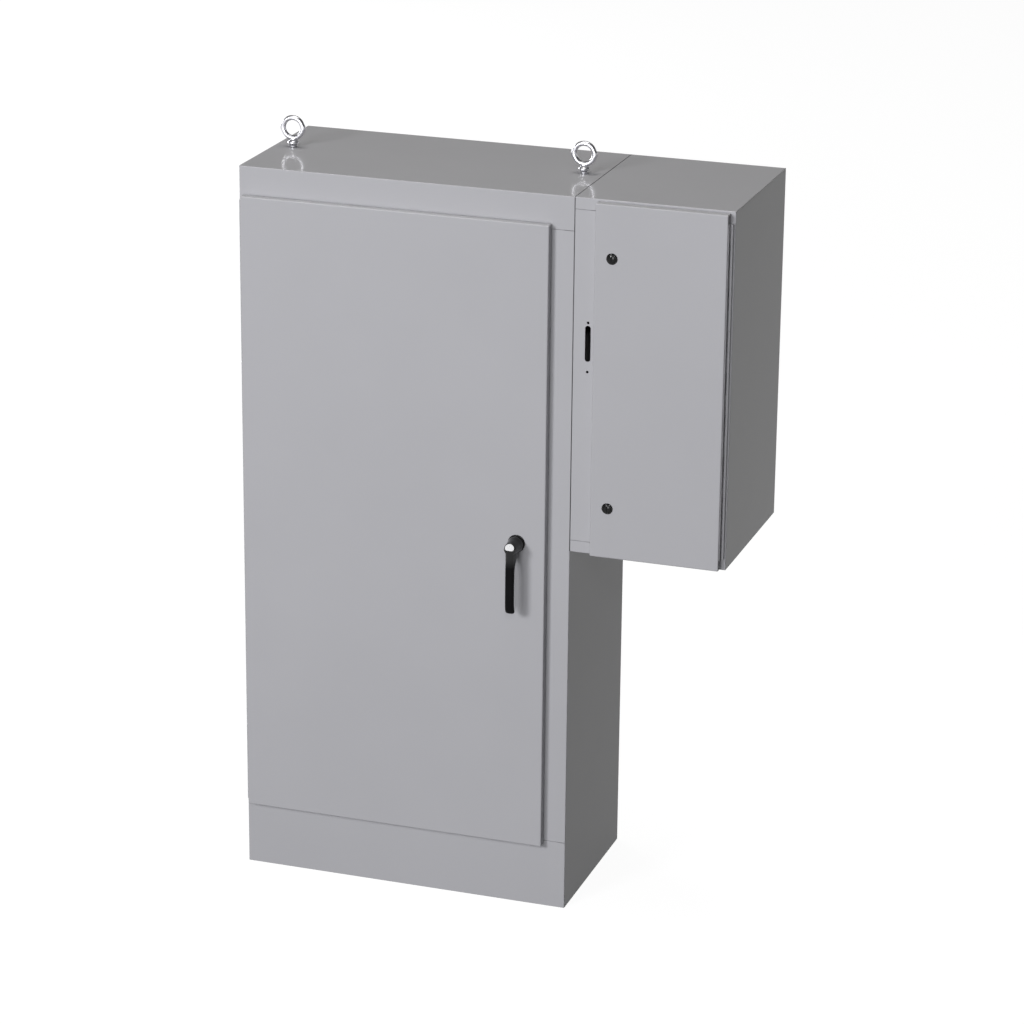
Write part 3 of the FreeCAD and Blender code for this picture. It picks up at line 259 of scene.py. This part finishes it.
def baked(thing, modifiers):
    """Applies modifiers given as (kind, settings) and keeps the result as a smooth mesh."""
    for kind, settings in modifiers:
        modifier = thing.modifiers.new(kind.lower(), kind)
        for name, value in settings.items():
            setattr(modifier, name, value)
    bpy.context.view_layer.update()
    graph = bpy.context.evaluated_depsgraph_get()
    mesh = bpy.data.meshes.new_from_object(thing.evaluated_get(graph))
    old = thing.data
    thing.modifiers.clear()
    thing.data = mesh
    bpy.data.meshes.remove(old)
    for face in thing.data.polygons:
        face.use_smooth = True
    return thing


def cast(thing, voxel):
    """Fuses overlapping forms into one skin with soft inner corners, like a casting or forging."""
    return baked(thing, [("REMESH", {"mode": "VOXEL", "voxel_size": voxel}),
                         ("SMOOTH", {"factor": 0.5, "iterations": SMOOTH_ROUNDS})])


def dress(thing, material, body, slot, *stands_for):
    """Gives a piece its finish, its body and the CAD nodes it stands for; the slot argument is not used."""
    thing.data.materials.clear()
    thing.data.materials.append(material)
    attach(thing, body)
    if stands_for:
        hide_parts(*stands_for)


def middle(node):
    """The middle of a CAD node's box."""
    low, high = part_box(node)
    return (low + high) / 2


# ---------------------------------------------------------------- stage and light

WORLD_FILL = 0.05
TARGET = Vector((0.15, -0.2, 0.95))
FLOOR_RADIUS = 30.0
FLOOR_SIDES = 96
FLOOR_BEND = 2.0
BEND_STEPS = 6
WALL_HEIGHT = 5.5
FLOOR_GLOW = 0.95
FLOOR_ALBEDO = (0.12, 0.12, 0.12)

# name: direction from the target, distance, side, power, colour
LAMPS = {
    "key_softbox": ((-0.36, -0.86, 0.37), 9.0, 2.1, 420.0, (0.98, 0.98, 1.0)),
    "front_softbox": ((0.02, -0.99, 0.12), 10.0, 4.5, 395.0, (0.97, 0.97, 1.0)),
    "top_softbox": ((-0.05, 0.05, 1.0), 7.0, 3.6, 204.0, (1.0, 0.985, 0.955)),
    "back_softbox": ((-0.75, 0.66, 0.05), 12.0, 3.4, 940.0, (1.0, 1.0, 1.0)),
    "spark_softbox": ((0.30, -0.80, 0.50), 7.0, 0.7, 32.0, (1.0, 1.0, 1.0)),
}


def seen_rays(tree):
    """1 for camera, glossy and transmission rays, so that metal and gloss show the background too."""
    path = add_node(tree, "ShaderNodeLightPath").outputs
    seen = maths(tree, "MAXIMUM", path["Is Camera Ray"], path["Is Glossy Ray"])
    return maths(tree, "MAXIMUM", seen, path["Is Transmission Ray"])


def make_world():
    """A plain grey fill above the studio wall."""
    world = bpy.data.worlds.new("studio")
    world.use_nodes = True
    fill = world.node_tree.nodes["Background"]
    fill.inputs["Color"].default_value = (1, 1, 1, 1)
    fill.inputs["Strength"].default_value = WORLD_FILL
    bpy.context.scene.world = world


def floor_material():
    """Pale paper: it shows as white, and its own shading keeps the object's shadow."""
    material = bpy.data.materials.new("floor_paper")
    material.use_nodes = True
    tree = material.node_tree
    tree.nodes.clear()
    paper = add_node(tree, "ShaderNodeBsdfDiffuse", {"Color": (*FLOOR_ALBEDO, 1.0)})
    strength = maths(tree, "MULTIPLY", seen_rays(tree), FLOOR_GLOW)
    glow = add_node(tree, "ShaderNodeEmission", {"Color": (1, 1, 1, 1), "Strength": strength})
    both = add_node(tree, "ShaderNodeAddShader", {0: paper.outputs[0], 1: glow.outputs[0]})
    output = add_node(tree, "ShaderNodeOutputMaterial")
    tree.links.new(both.outputs[0], output.inputs["Surface"])
    return material


def make_stage():
    """A pale round floor that sweeps up into a low wall."""
    bend_start = FLOOR_RADIUS - FLOOR_BEND
    profile = [(bend_start, 0.0)]
    for k in range(1, BEND_STEPS + 1):
        angle = math.radians(90 / BEND_STEPS * k)
        profile.append((bend_start + FLOOR_BEND * math.sin(angle),
                        FLOOR_BEND - FLOOR_BEND * math.cos(angle)))
    profile.append((FLOOR_RADIUS, WALL_HEIGHT))
    spokes = [math.tau * i / FLOOR_SIDES for i in range(FLOOR_SIDES)]
    bm = bmesh.new()
    rings = [[bm.verts.new((r * math.cos(a), r * math.sin(a), z)) for a in spokes] for r, z in profile]
    bm.faces.new(rings[0])
    for one, other in zip(rings, rings[1:]):
        bridge(bm, one, other)
    stage = new_object("studio_floor", bm)
    stage.data.materials.append(floor_material())


def make_lamp(name, towards, distance, side, power, colour):
    """A square softbox out from the target along a direction, facing back at it."""
    data = bpy.data.lights.new(name, "AREA")
    data.shape = "SQUARE"
    data.size = side
    data.energy = power
    data.color = colour
    lamp = bpy.data.objects.new(name, data)
    place = TARGET + Vector(towards).normalized() * distance
    turn = (TARGET - place).to_track_quat("-Z", "Y")
    lamp.visible_camera = False
    lamp.matrix_world = Matrix.Translation(place) @ turn.to_matrix().to_4x4()
    bpy.context.scene.collection.objects.link(lamp)


# ---------------------------------------------------------------- finishes

BLACK = (0.004, 0.004, 0.0045)
CAP_COLOUR = (0.66, 0.66, 0.64)
FUSE_CAP = 24.0 * MM
HUB_LACQUER = 0.6
HUB_ROUGHNESS = 0.08
HUB_TO_GRIP = (48.0 * MM, 24.0 * MM)      # below the hub's axis, where the grip's satin turns to gloss

FINISHES = {
    "powder_coat": finish_material("powder_coat_grey", (0.445, 0.445, 0.462), 0.13, clouds=0.012,
                                   cloud_scale=2.5, grain_scale=420.0, grain_depth=0.000012,
                                   rough_swing=0.02, edge=(0.52, 0.52, 0.53), edge_radius=0.0018,
                                   specular=0.06),
    "inner_steel": finish_material("white_enamel", (0.74, 0.74, 0.71), 0.34, clouds=0.012,
                                   cloud_scale=2.5, grain_scale=350.0, rough_swing=0.02,
                                   edge=(0.62, 0.62, 0.6)),
    "zinc_steel": finish_material("zinc_plate", (0.55, 0.56, 0.57), 0.34, metal=1.0, clouds=0.08,
                                  cloud_scale=22.0, grain_scale=1500.0, rough_swing=0.1,
                                  edge=(0.75, 0.75, 0.76), edge_radius=0.0006, second=(0.60, 0.57, 0.47)),
    "bright_steel": finish_material("bright_plate", (0.64, 0.64, 0.67), 0.36, metal=1.0, clouds=0.05,
                                    cloud_scale=40.0, grain_scale=240.0, grain_depth=0.00004,
                                    edge=(0.9, 0.9, 0.9), edge_radius=0.0008),
    "black_gloss": finish_material("black_enamel", BLACK, 0.09, clouds=0.2, cloud_scale=30.0,
                                   grain_scale=500.0, rough_swing=0.03, specular=0.24,
                                   edge=(0.012, 0.012, 0.012), edge_radius=0.0006),
    "black_grip": finish_material("black_satin", BLACK, 0.32, clouds=0.2, cloud_scale=25.0,
                                  grain_scale=1400.0, grain_depth=0.00004, rough_swing=0.06,
                                  specular=0.05, edge=(0.014, 0.014, 0.014), edge_radius=0.0008),
    # painted shade: a dark grey for a thin bead that stands in for the shade in the gap between the two boxes
    "sealant": finish_material("joint_painted_gap_shade_grey", (0.11, 0.11, 0.115), 0.5, clouds=0.15,
                               cloud_scale=30.0, grain_scale=600.0, grain_depth=0.00005, specular=0.25),
    # painted shade: a grey darker than the powder coat, for thin raised lines that stand in for the shade in
    # the seams between the sheets
    "weld": finish_material("painted_seam_shade_grey", (0.30, 0.30, 0.315), 0.3, clouds=0.1, cloud_scale=60.0,
                            grain_scale=500.0, grain_depth=0.00005, specular=0.25),
    "foam": finish_material("seal_foam", (0.03, 0.03, 0.031), 0.85, clouds=0.25, cloud_scale=60.0,
                            grain_scale=1300.0, grain_depth=0.0004, rough_swing=0.08, specular=0.2),
    "nylon": finish_material("natural_nylon", (0.70, 0.68, 0.60), 0.42, cloud_scale=40.0,
                             grain_scale=1200.0),
    "moulding": finish_material("moulded_black", (0.035, 0.035, 0.038), 0.45, clouds=0.1,
                                cloud_scale=30.0, grain_scale=1800.0, grain_depth=0.00006,
                                edge=(0.07, 0.07, 0.07)),
    "arrester_case": finish_material("moulded_grey", (0.52, 0.54, 0.56), 0.42, clouds=0.02,
                                     cloud_scale=30.0, grain_scale=1800.0, grain_depth=0.00005,
                                     edge=(0.6, 0.6, 0.6)),
    "insulator_red": finish_material("red_polyester", (0.36, 0.03, 0.02), 0.4, clouds=0.12,
                                     cloud_scale=120.0, grain_scale=700.0, second=(0.42, 0.08, 0.05)),
    "fuse_body": finish_material("fuse_tube", (0.66, 0.60, 0.48), 0.4, clouds=0.05, cloud_scale=60.0,
                                 second=(0.58, 0.52, 0.40)),
    "copper": finish_material("bare_copper", (0.80, 0.42, 0.26), 0.3, metal=1.0, clouds=0.08,
                              cloud_scale=30.0, grain_scale=1300.0, rough_swing=0.1,
                              edge=(0.92, 0.60, 0.45), edge_radius=0.0006, second=(0.50, 0.24, 0.15)),
    "tinned": finish_material("tin_plate", (0.72, 0.72, 0.70), 0.3, metal=1.0, clouds=0.05,
                              cloud_scale=60.0, grain_scale=1300.0, rough_swing=0.08,
                              edge=(0.85, 0.85, 0.84), edge_radius=0.0005),
}


def dress_cad_nodes():
    """Every CAD node that stays gets the full finish of its own slot."""
    for node in NODES.values():
        for place in node.material_slots:
            place.material = FINISHES[place.material.name.split(".")[0]]


def lever_material():
    """The grip's satin, and a lacquered gloss on the hub above it, by height on the lever at rest."""
    material = FINISHES["black_grip"].copy()
    material.name = "black_lever"
    tree = material.node_tree
    shader, height = shader_and_height(material)
    satin = shader.inputs["Roughness"].links[0].from_socket
    hub = middle("latch_shaft").z
    polish = spread(tree, height, 0.0, 1.0, hub - HUB_TO_GRIP[0], hub - HUB_TO_GRIP[1])
    rough, gloss = MIX_NUMBERS
    mixed = add_node(tree, "ShaderNodeMix", {0: polish, rough: satin, gloss: HUB_ROUGHNESS},
                     data_type="FLOAT")
    tree.links.new(mixed.outputs[0], shader.inputs["Roughness"])
    tree.links.new(maths(tree, "MULTIPLY", polish, HUB_LACQUER), shader.inputs["Coat Weight"])
    return material


def cap_fuses():
    """Plated caps on the ends of the fuse tubes, by height."""
    material = FINISHES["fuse_body"]
    tree = material.node_tree
    shader, height = shader_and_height(material)
    tube = shader.inputs["Base Color"].links[0].from_socket
    low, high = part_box("string_fuses")
    from_middle = maths(tree, "ABSOLUTE", maths(tree, "SUBTRACT", height, (low.z + high.z) / 2))
    cap = maths(tree, "GREATER_THAN", from_middle, (high.z - low.z) / 2 - FUSE_CAP)
    tree.links.new(blend_colours(tree, cap, tube, CAP_COLOUR), shader.inputs["Base Color"])
    tree.links.new(cap, shader.inputs["Metallic"])


# ---------------------------------------------------------------- door handle

ROSE_RIM_ROUND = 1.8 * MM
ROSE_FACE_ROUND = 2.0 * MM
ROSE_FACE_IN = 4.4 * MM          # from the rose's edge to the edge of its raised face
HUB_ROUND = 7.0 * MM
HUB_NECK = 15.6 * MM
HANDLE_VOXEL = 0.9 * MM
LEVER_SQUARENESS = 2.9
FACET_TILT = math.radians(22)
FACET_START = 4.0 * MM


def make_rose():
    """A gloss rose with a stepped rim."""
    centre = middle("latch_shaft")
    low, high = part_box("handle_rose")
    radius = (high.x - low.x) / 2
    front, back = low.y, high.y
    bm = bmesh.new()
    turned(bm, "y", (centre.x, centre.z),
           [(0, back), (radius - 0.3 * MM, back), (radius, back - 0.6 * MM)]
           + shoulder(radius - ROSE_RIM_ROUND, back - 2.2 * MM, ROSE_RIM_ROUND, -90)
           + [(radius - 3.4 * MM, back - 3.9 * MM), (radius - 4.0 * MM, back - 3.2 * MM)]
           + shoulder(radius - ROSE_FACE_IN - ROSE_FACE_ROUND, front + ROSE_FACE_ROUND,
                      ROSE_FACE_ROUND, -90)
           + [(radius - 10 * MM, front + 0.1 * MM), (0, front + 0.1 * MM)])
    dress(new_object("handle_rose_turned", bm), FINISHES["black_gloss"], "main_door", "black_gloss",
          "handle_rose")


def make_lever():
    """A cast lever: a turned hub with a sloping facet, whose neck runs down into a flat grip."""
    centre = middle("latch_shaft")
    low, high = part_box("door_handle")
    front, back = low.y, high.y
    bm = bmesh.new()
    turned(bm, "y", (centre.x, centre.z),
           [(0, back), (19.0 * MM, back), (20.0 * MM, back - 1 * MM), (19.6 * MM, back - 5 * MM),
            (17.8 * MM, back - 16 * MM), (16.2 * MM, front + 14 * MM)]
           + shoulder(HUB_NECK - HUB_ROUND, front + 8.0 * MM, HUB_ROUND, -72)
           + [(8 * MM, front + 0.9 * MM), (0, front + 0.5 * MM)])
    axis, foot = centre.z, low.z
    top = axis + 12.5 * MM
    # height; then, in mm, the middle's depth behind the hub's front, half the width, half the depth
    sections = [
        (top, 12.0, 7.0, 9.0), (top - 2 * MM, 13.0, 9.5, 10.5), (axis, 22.0, 13.2, 21.0),
        (axis - 14 * MM, 22.5, 13.6, 21.6), (axis - 22 * MM, 20.5, 13.0, 19.6),
        (axis - 30 * MM, 16.6, 12.2, 15.8), (axis - 38 * MM, 12.6, 11.6, 12.0),
        (axis - 47 * MM, 9.2, 11.2, 8.8), (axis - 58 * MM, 7.5, 11.1, 7.2),
        (axis - 80 * MM, 7.2, 11.0, 7.0), (foot + 40 * MM, 7.1, 11.0, 6.9),
        (foot + 22 * MM, 7.4, 11.1, 7.0), (foot + 11 * MM, 9.6, 11.3, 7.4),
        (foot + 4 * MM, 12.2, 11.1, 7.4), (foot + 1 * MM, 13.2, 9.8, 6.0), (foot, 13.6, 7.0, 3.6)]
    rings = []
    for z, behind, half_x, half_y in sections:
        y = front + behind * MM
        rings.append([Vector((centre.x + px, y + py, z))
                      for px, py in superellipse(half_x * MM, half_y * MM, LEVER_SQUARENESS)])
    loft(bm, rings)
    facet = Vector((0, -math.cos(FACET_TILT), math.sin(FACET_TILT)))
    cut = bmesh.ops.bisect_plane(bm, geom=bm.verts[:] + bm.edges[:] + bm.faces[:],
                                 plane_co=Vector((centre.x, front, axis - FACET_START)),
                                 plane_no=facet, clear_outer=True)
    rims = [part for part in cut["geom_cut"] if isinstance(part, bmesh.types.BMEdge)]
    bmesh.ops.holes_fill(bm, edges=rims)
    lever = cast(new_object("door_handle_cast", bm), HANDLE_VOXEL)
    dress(lever, lever_material(), "door_handle_set", "black_grip", "door_handle")


# ---------------------------------------------------------------- quarter-turns

DOME_RISE = 4.6 * MM
BEZEL_WIDTH = 5 * MM
CORE_GAP = 0.3 * MM
SHANK_RADIUS = 10.8 * MM
THREAD_DEPTH = 0.35 * MM
THREAD_STEP = 0.75 * MM
THREAD_POINTS = 14
SLOT_HALVES = (1.5 * MM, 6.8 * MM)
SLOT_DEPTH = 2.6 * MM


def cut_slot(piece, centre, apex):
    """A driver slot across a core's domed face."""
    outline = [(centre[0] + px, centre[1] + py) for px, py in superellipse(*SLOT_HALVES, 8.0, 32)]
    tool_bm = bmesh.new()
    loft(tool_bm, [[Vector((x, y, z)) for x, z in outline] for y in (apex - 1 * MM, apex + SLOT_DEPTH)])
    tool = new_object("slot_tool", tool_bm)
    baked(piece, [("BOOLEAN", {"operation": "DIFFERENCE", "object": tool, "solver": "EXACT"})])
    bpy.data.objects.remove(tool)


def make_quarter_turns():
    """Domed gloss bezels on threaded shanks, and domed cores with a driver slot."""
    bm = bmesh.new()
    door_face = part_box("side_door_panel")[0].y
    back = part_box("latch_housings")[1].y
    for name in ("upper", "lower"):
        core_middle = middle(f"{name}_turn_core")
        centre = (core_middle.x, core_middle.z)
        low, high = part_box(f"{name}_turn_core")
        core = (high.x - low.x) / 2
        bezel = core + BEZEL_WIDTH
        bore = core + CORE_GAP
        dome_radius = (bezel ** 2 + DOME_RISE ** 2) / (2 * DOME_RISE)
        apex = door_face - DOME_RISE

        def on_dome(r, dome_radius=dome_radius, apex=apex):
            """The place along y of a point on the domed face, r out from the axis."""
            return apex + dome_radius - math.sqrt(dome_radius ** 2 - r ** 2)

        dome = [(r, on_dome(r)) for r in (bezel - 0.35 * MM, bezel - 1.5 * MM, bezel - 3 * MM,
                                          bore + 0.5 * MM)]
        thread = [(SHANK_RADIUS - (THREAD_DEPTH if k % 2 else 0), back - (k + 1) * THREAD_STEP)
                  for k in range(THREAD_POINTS)]
        turned(bm, "y", centre,
               [(bore, back), (SHANK_RADIUS, back)] + thread
               + [(SHANK_RADIUS, door_face + 2.2 * MM), (bezel - 0.2 * MM, door_face + 0.05 * MM),
                  (bezel, door_face - 0.3 * MM)]
               + dome + [(bore + 0.15 * MM, dome[-1][1] + 0.1 * MM), (bore, dome[-1][1] + 0.5 * MM)],
               closed=True)
        core_bm = bmesh.new()
        turned(core_bm, "y", centre,
               [(0, high.y), (4.5 * MM, high.y), (6 * MM, high.y - 0.6 * MM), (6 * MM, high.y - 3 * MM),
                (4.0 * MM, high.y - 3 * MM), (4.0 * MM, back - 0.2 * MM),
                (core - 0.4 * MM, back - 0.2 * MM), (core, back - 1 * MM),
                (core, on_dome(core) + 0.5 * MM)]
               + [(core * k, on_dome(core * k)) for k in (0.96, 0.8, 0.6, 0.4, 0.2)] + [(0, apex)])
        piece = new_object(f"{name}_turn_core_domed", core_bm)
        cut_slot(piece, centre, apex)
        piece.data.set_sharp_from_angle(angle=math.radians(30))
        dress(piece, FINISHES["black_gloss"], f"{name}_quarter_turn", "black_gloss",
              f"{name}_turn_core")
    housings = new_object("latch_housings_domed", bm)
    housings.data.set_sharp_from_angle(angle=math.radians(50))
    dress(housings, FINISHES["black_gloss"], "side_door", "black_gloss", "latch_housings")


# ---------------------------------------------------------------- lifting eyes

EYE_OUTER = 31.25 * MM
EYE_HOLE = 19.15 * MM
EYE_SHANK = 6.0 * MM
EYE_THICK = 6.4 * MM
EYE_STEPS = 96
LAND_RISE = 2.0 * MM
LAND_START = 0.955          # the cosine of the angle at which a side land begins
EYE_VOXEL = 0.8 * MM
# radius and height over the roof, in mm
EYE_NECK = [(8.3, 0.0), (8.6, 0.5), (8.4, 4.0), (8.8, 6.6), (11.0, 8.2), (13.2, 9.4), (13.6, 10.6),
            (13.2, 12.4), (12.2, 14.2), (9.4, 16.0), (7.4, 19.0), (6.0, 22.0), (0.0, 24.0)]


def eye_ring(bm, x, y, z):
    """A forged ring whose outer flank swells into a small land at each side."""
    rings = []
    for i in range(EYE_STEPS):
        angle = math.tau * i / EYE_STEPS
        outward = Vector((math.cos(angle), 0, math.sin(angle)))
        land = LAND_RISE * max(0.0, abs(math.cos(angle)) - LAND_START) / (1 - LAND_START)
        half = (EYE_OUTER + land - EYE_HOLE) / 2
        centre = Vector((x, y, z)) + outward * (EYE_HOLE + half)
        rings.append([centre + outward * px + Vector((0, py, 0))
                      for px, py in superellipse(half, EYE_THICK, 2.15, 28)])
    loft(bm, rings, closed=True)


def make_lifting_eyes():
    """Forged eyes: a ring with side lands on a flanged neck, and the shank through the roof."""
    low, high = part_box("lifting_eyes")
    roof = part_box("cabinet_roof")[1].z
    bm = bmesh.new()
    for x in (low.x + EYE_OUTER, high.x - EYE_OUTER):
        eye_ring(bm, x, 0.0, high.z - EYE_OUTER)
        turned(bm, "z", (x, 0.0),
               [(0, low.z), (EYE_SHANK - 0.8 * MM, low.z), (EYE_SHANK, low.z + 1 * MM), (EYE_SHANK, roof)]
               + [(r * MM, roof + rise * MM) for r, rise in EYE_NECK])
    eyes = cast(new_object("lifting_eyes_forged", bm), EYE_VOXEL)
    dress(eyes, FINISHES["bright_steel"], "enclosure", "bright_steel", "lifting_eyes")


# ---------------------------------------------------------------- seams between the sheets

BEAD_STEPS = 8
SHEET_TURN = 3.0 * MM          # how the dark gap line rounds the roof's edges
TURN_PARTS = 6
GAP_SHADE_LINE_SIZE = (2.4 * MM, 0.35 * MM)      # width, and how far it stands out
SEAM_LINE_SIZE = (1.3 * MM, 0.2 * MM)
# the thin lines at the seams beside the doors are painted shade of those seams
SEAM_LINE_UNDER_DOOR = 6 * MM
SEAM_LINE_END = 1 * MM


def bead(bm, points, across, width, proud):
    """A flat-arched line along a row of points, used for the dark lines that are painted shade in the gap and
    the seams; across is its sideways direction, and each point comes with the direction that it stands out
    in."""
    rings = []
    for place, out in points:
        ring = []
        for k in range(BEAD_STEPS + 1):
            angle = math.pi * k / BEAD_STEPS
            ring.append(place + across * (width / 2 * math.cos(angle)) + out * (proud * math.sin(angle)))
        ring.append(place - across * (width / 2) - out * proud)
        ring.append(place + across * (width / 2) - out * proud)
        rings.append(ring)
    loft(bm, rings)


def round_edge(corner, start, end):
    """Points round an edge whose bend is centred on corner, turning from one outward direction to another."""
    points = []
    for k in range(1, TURN_PARTS):
        angle = math.radians(90 * k / TURN_PARTS)
        out = start * math.cos(angle) + end * math.sin(angle)
        points.append((corner + out * SHEET_TURN, out))
    return points


def make_seams():
    """Dark grey lines that are painted shade: a bead in the gap between the two boxes, and fine raised lines
    in the seams beside the doors.
    """
    up, forth, aft = Vector((0, 0, 1)), Vector((0, -1, 0)), Vector((0, 1, 0))
    low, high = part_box("side_box_roof")
    joint, back, top = low.x, high.y, high.z
    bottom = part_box("side_box_floor")[0].z
    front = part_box("main_hinge_body_leaf")[1].y

    path = [(Vector((joint, back, bottom)), aft), (Vector((joint, back, top - SHEET_TURN)), aft)]
    path += round_edge(Vector((joint, back - SHEET_TURN, top - SHEET_TURN)), aft, up)
    path += [(Vector((joint, back - SHEET_TURN, top)), up), (Vector((joint, front + SHEET_TURN, top)), up)]
    path += round_edge(Vector((joint, front + SHEET_TURN, top - SHEET_TURN)), up, forth)
    path += [(Vector((joint, front, top - SHEET_TURN)), forth), (Vector((joint, front, bottom)), forth)]
    bm = bmesh.new()
    bead(bm, path, Vector((1, 0, 0)), *GAP_SHADE_LINE_SIZE)
    # a dark grey bead in the joint between the two boxes: painted shade of the gap between their rounded
    # corners
    dress(new_object("joint_sealant", bm), FINISHES["sealant"], "enclosure", "foam")

    main_run = (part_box("main_door_panel")[1].x - SEAM_LINE_UNDER_DOOR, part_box("cabinet_roof")[1].x - SEAM_LINE_END)
    side_run = (joint + SEAM_LINE_END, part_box("side_door_panel")[0].x + SEAM_LINE_UNDER_DOOR)
    bm = bmesh.new()
    for leaf, (start, end) in (("main_hinge_body_leaf", main_run), ("side_hinge_body_leaf", side_run)):
        leaf_low, leaf_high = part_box(leaf)
        for z in (leaf_high.z, leaf_low.z):
            bead(bm, [(Vector((start, front, z)), forth), (Vector((end, front, z)), forth)],
                 up, *SEAM_LINE_SIZE)
    # the darker grey of these thin raised lines is painted shade of the seams between the header, footer and
    # jambs
    dress(new_object("seam_shade_lines", bm), FINISHES["weld"], "enclosure", "powder_coat")


# ---------------------------------------------------------------- door seals

SEAL_WIDTH = 10.0 * MM
SEAL_CORNER = 9.0 * MM
SEAL_CORNER_STEPS = 8
SEAL_CROWN_STEPS = 16


def make_seal(node, body):
    """A crowned foam strip, run in place round the door's inner face."""
    low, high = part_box(node)
    half = SEAL_WIDTH / 2
    base, crown = low.y, high.y
    section = []
    for k in range(SEAL_CROWN_STEPS + 1):
        turn = math.pi * k / SEAL_CROWN_STEPS
        section.append((half * math.copysign(abs(math.cos(turn)) ** 0.7, math.cos(turn)),
                        (crown - base) * math.sin(turn) ** 0.6))
    corners = [(high.x, high.z, 1, 1, 0), (low.x, high.z, -1, 1, 90),
               (low.x, low.z, -1, -1, 180), (high.x, low.z, 1, -1, 270)]
    rings = []
    for x, z, sign_x, sign_z, start in corners:
        centre = Vector((x - sign_x * half - sign_x * SEAL_CORNER, 0,
                         z - sign_z * half - sign_z * SEAL_CORNER))
        for i in range(SEAL_CORNER_STEPS + 1):
            angle = math.radians(start + 90 * i / SEAL_CORNER_STEPS)
            outward = Vector((math.cos(angle), 0, math.sin(angle)))
            here = centre + outward * SEAL_CORNER
            rings.append([here + outward * px + Vector((0, base + py, 0)) for px, py in section])
    bm = bmesh.new()
    loft(bm, rings, closed=True)
    seal = new_object(f"{node}_foamed", bm)
    dress(seal, FINISHES["foam"], body, "foam", node)


# ---------------------------------------------------------------- scene

make_camera()
make_world()
make_stage()
for lamp_name, lamp in LAMPS.items():
    make_lamp(lamp_name, *lamp)
bpy.context.scene.view_settings.view_transform = "Standard"

dress_cad_nodes()
cap_fuses()
make_rose()
make_lever()
make_quarter_turns()
make_lifting_eyes()
make_seams()
make_seal("main_door_gasket", "main_door")
make_seal("side_door_gasket", "side_door")
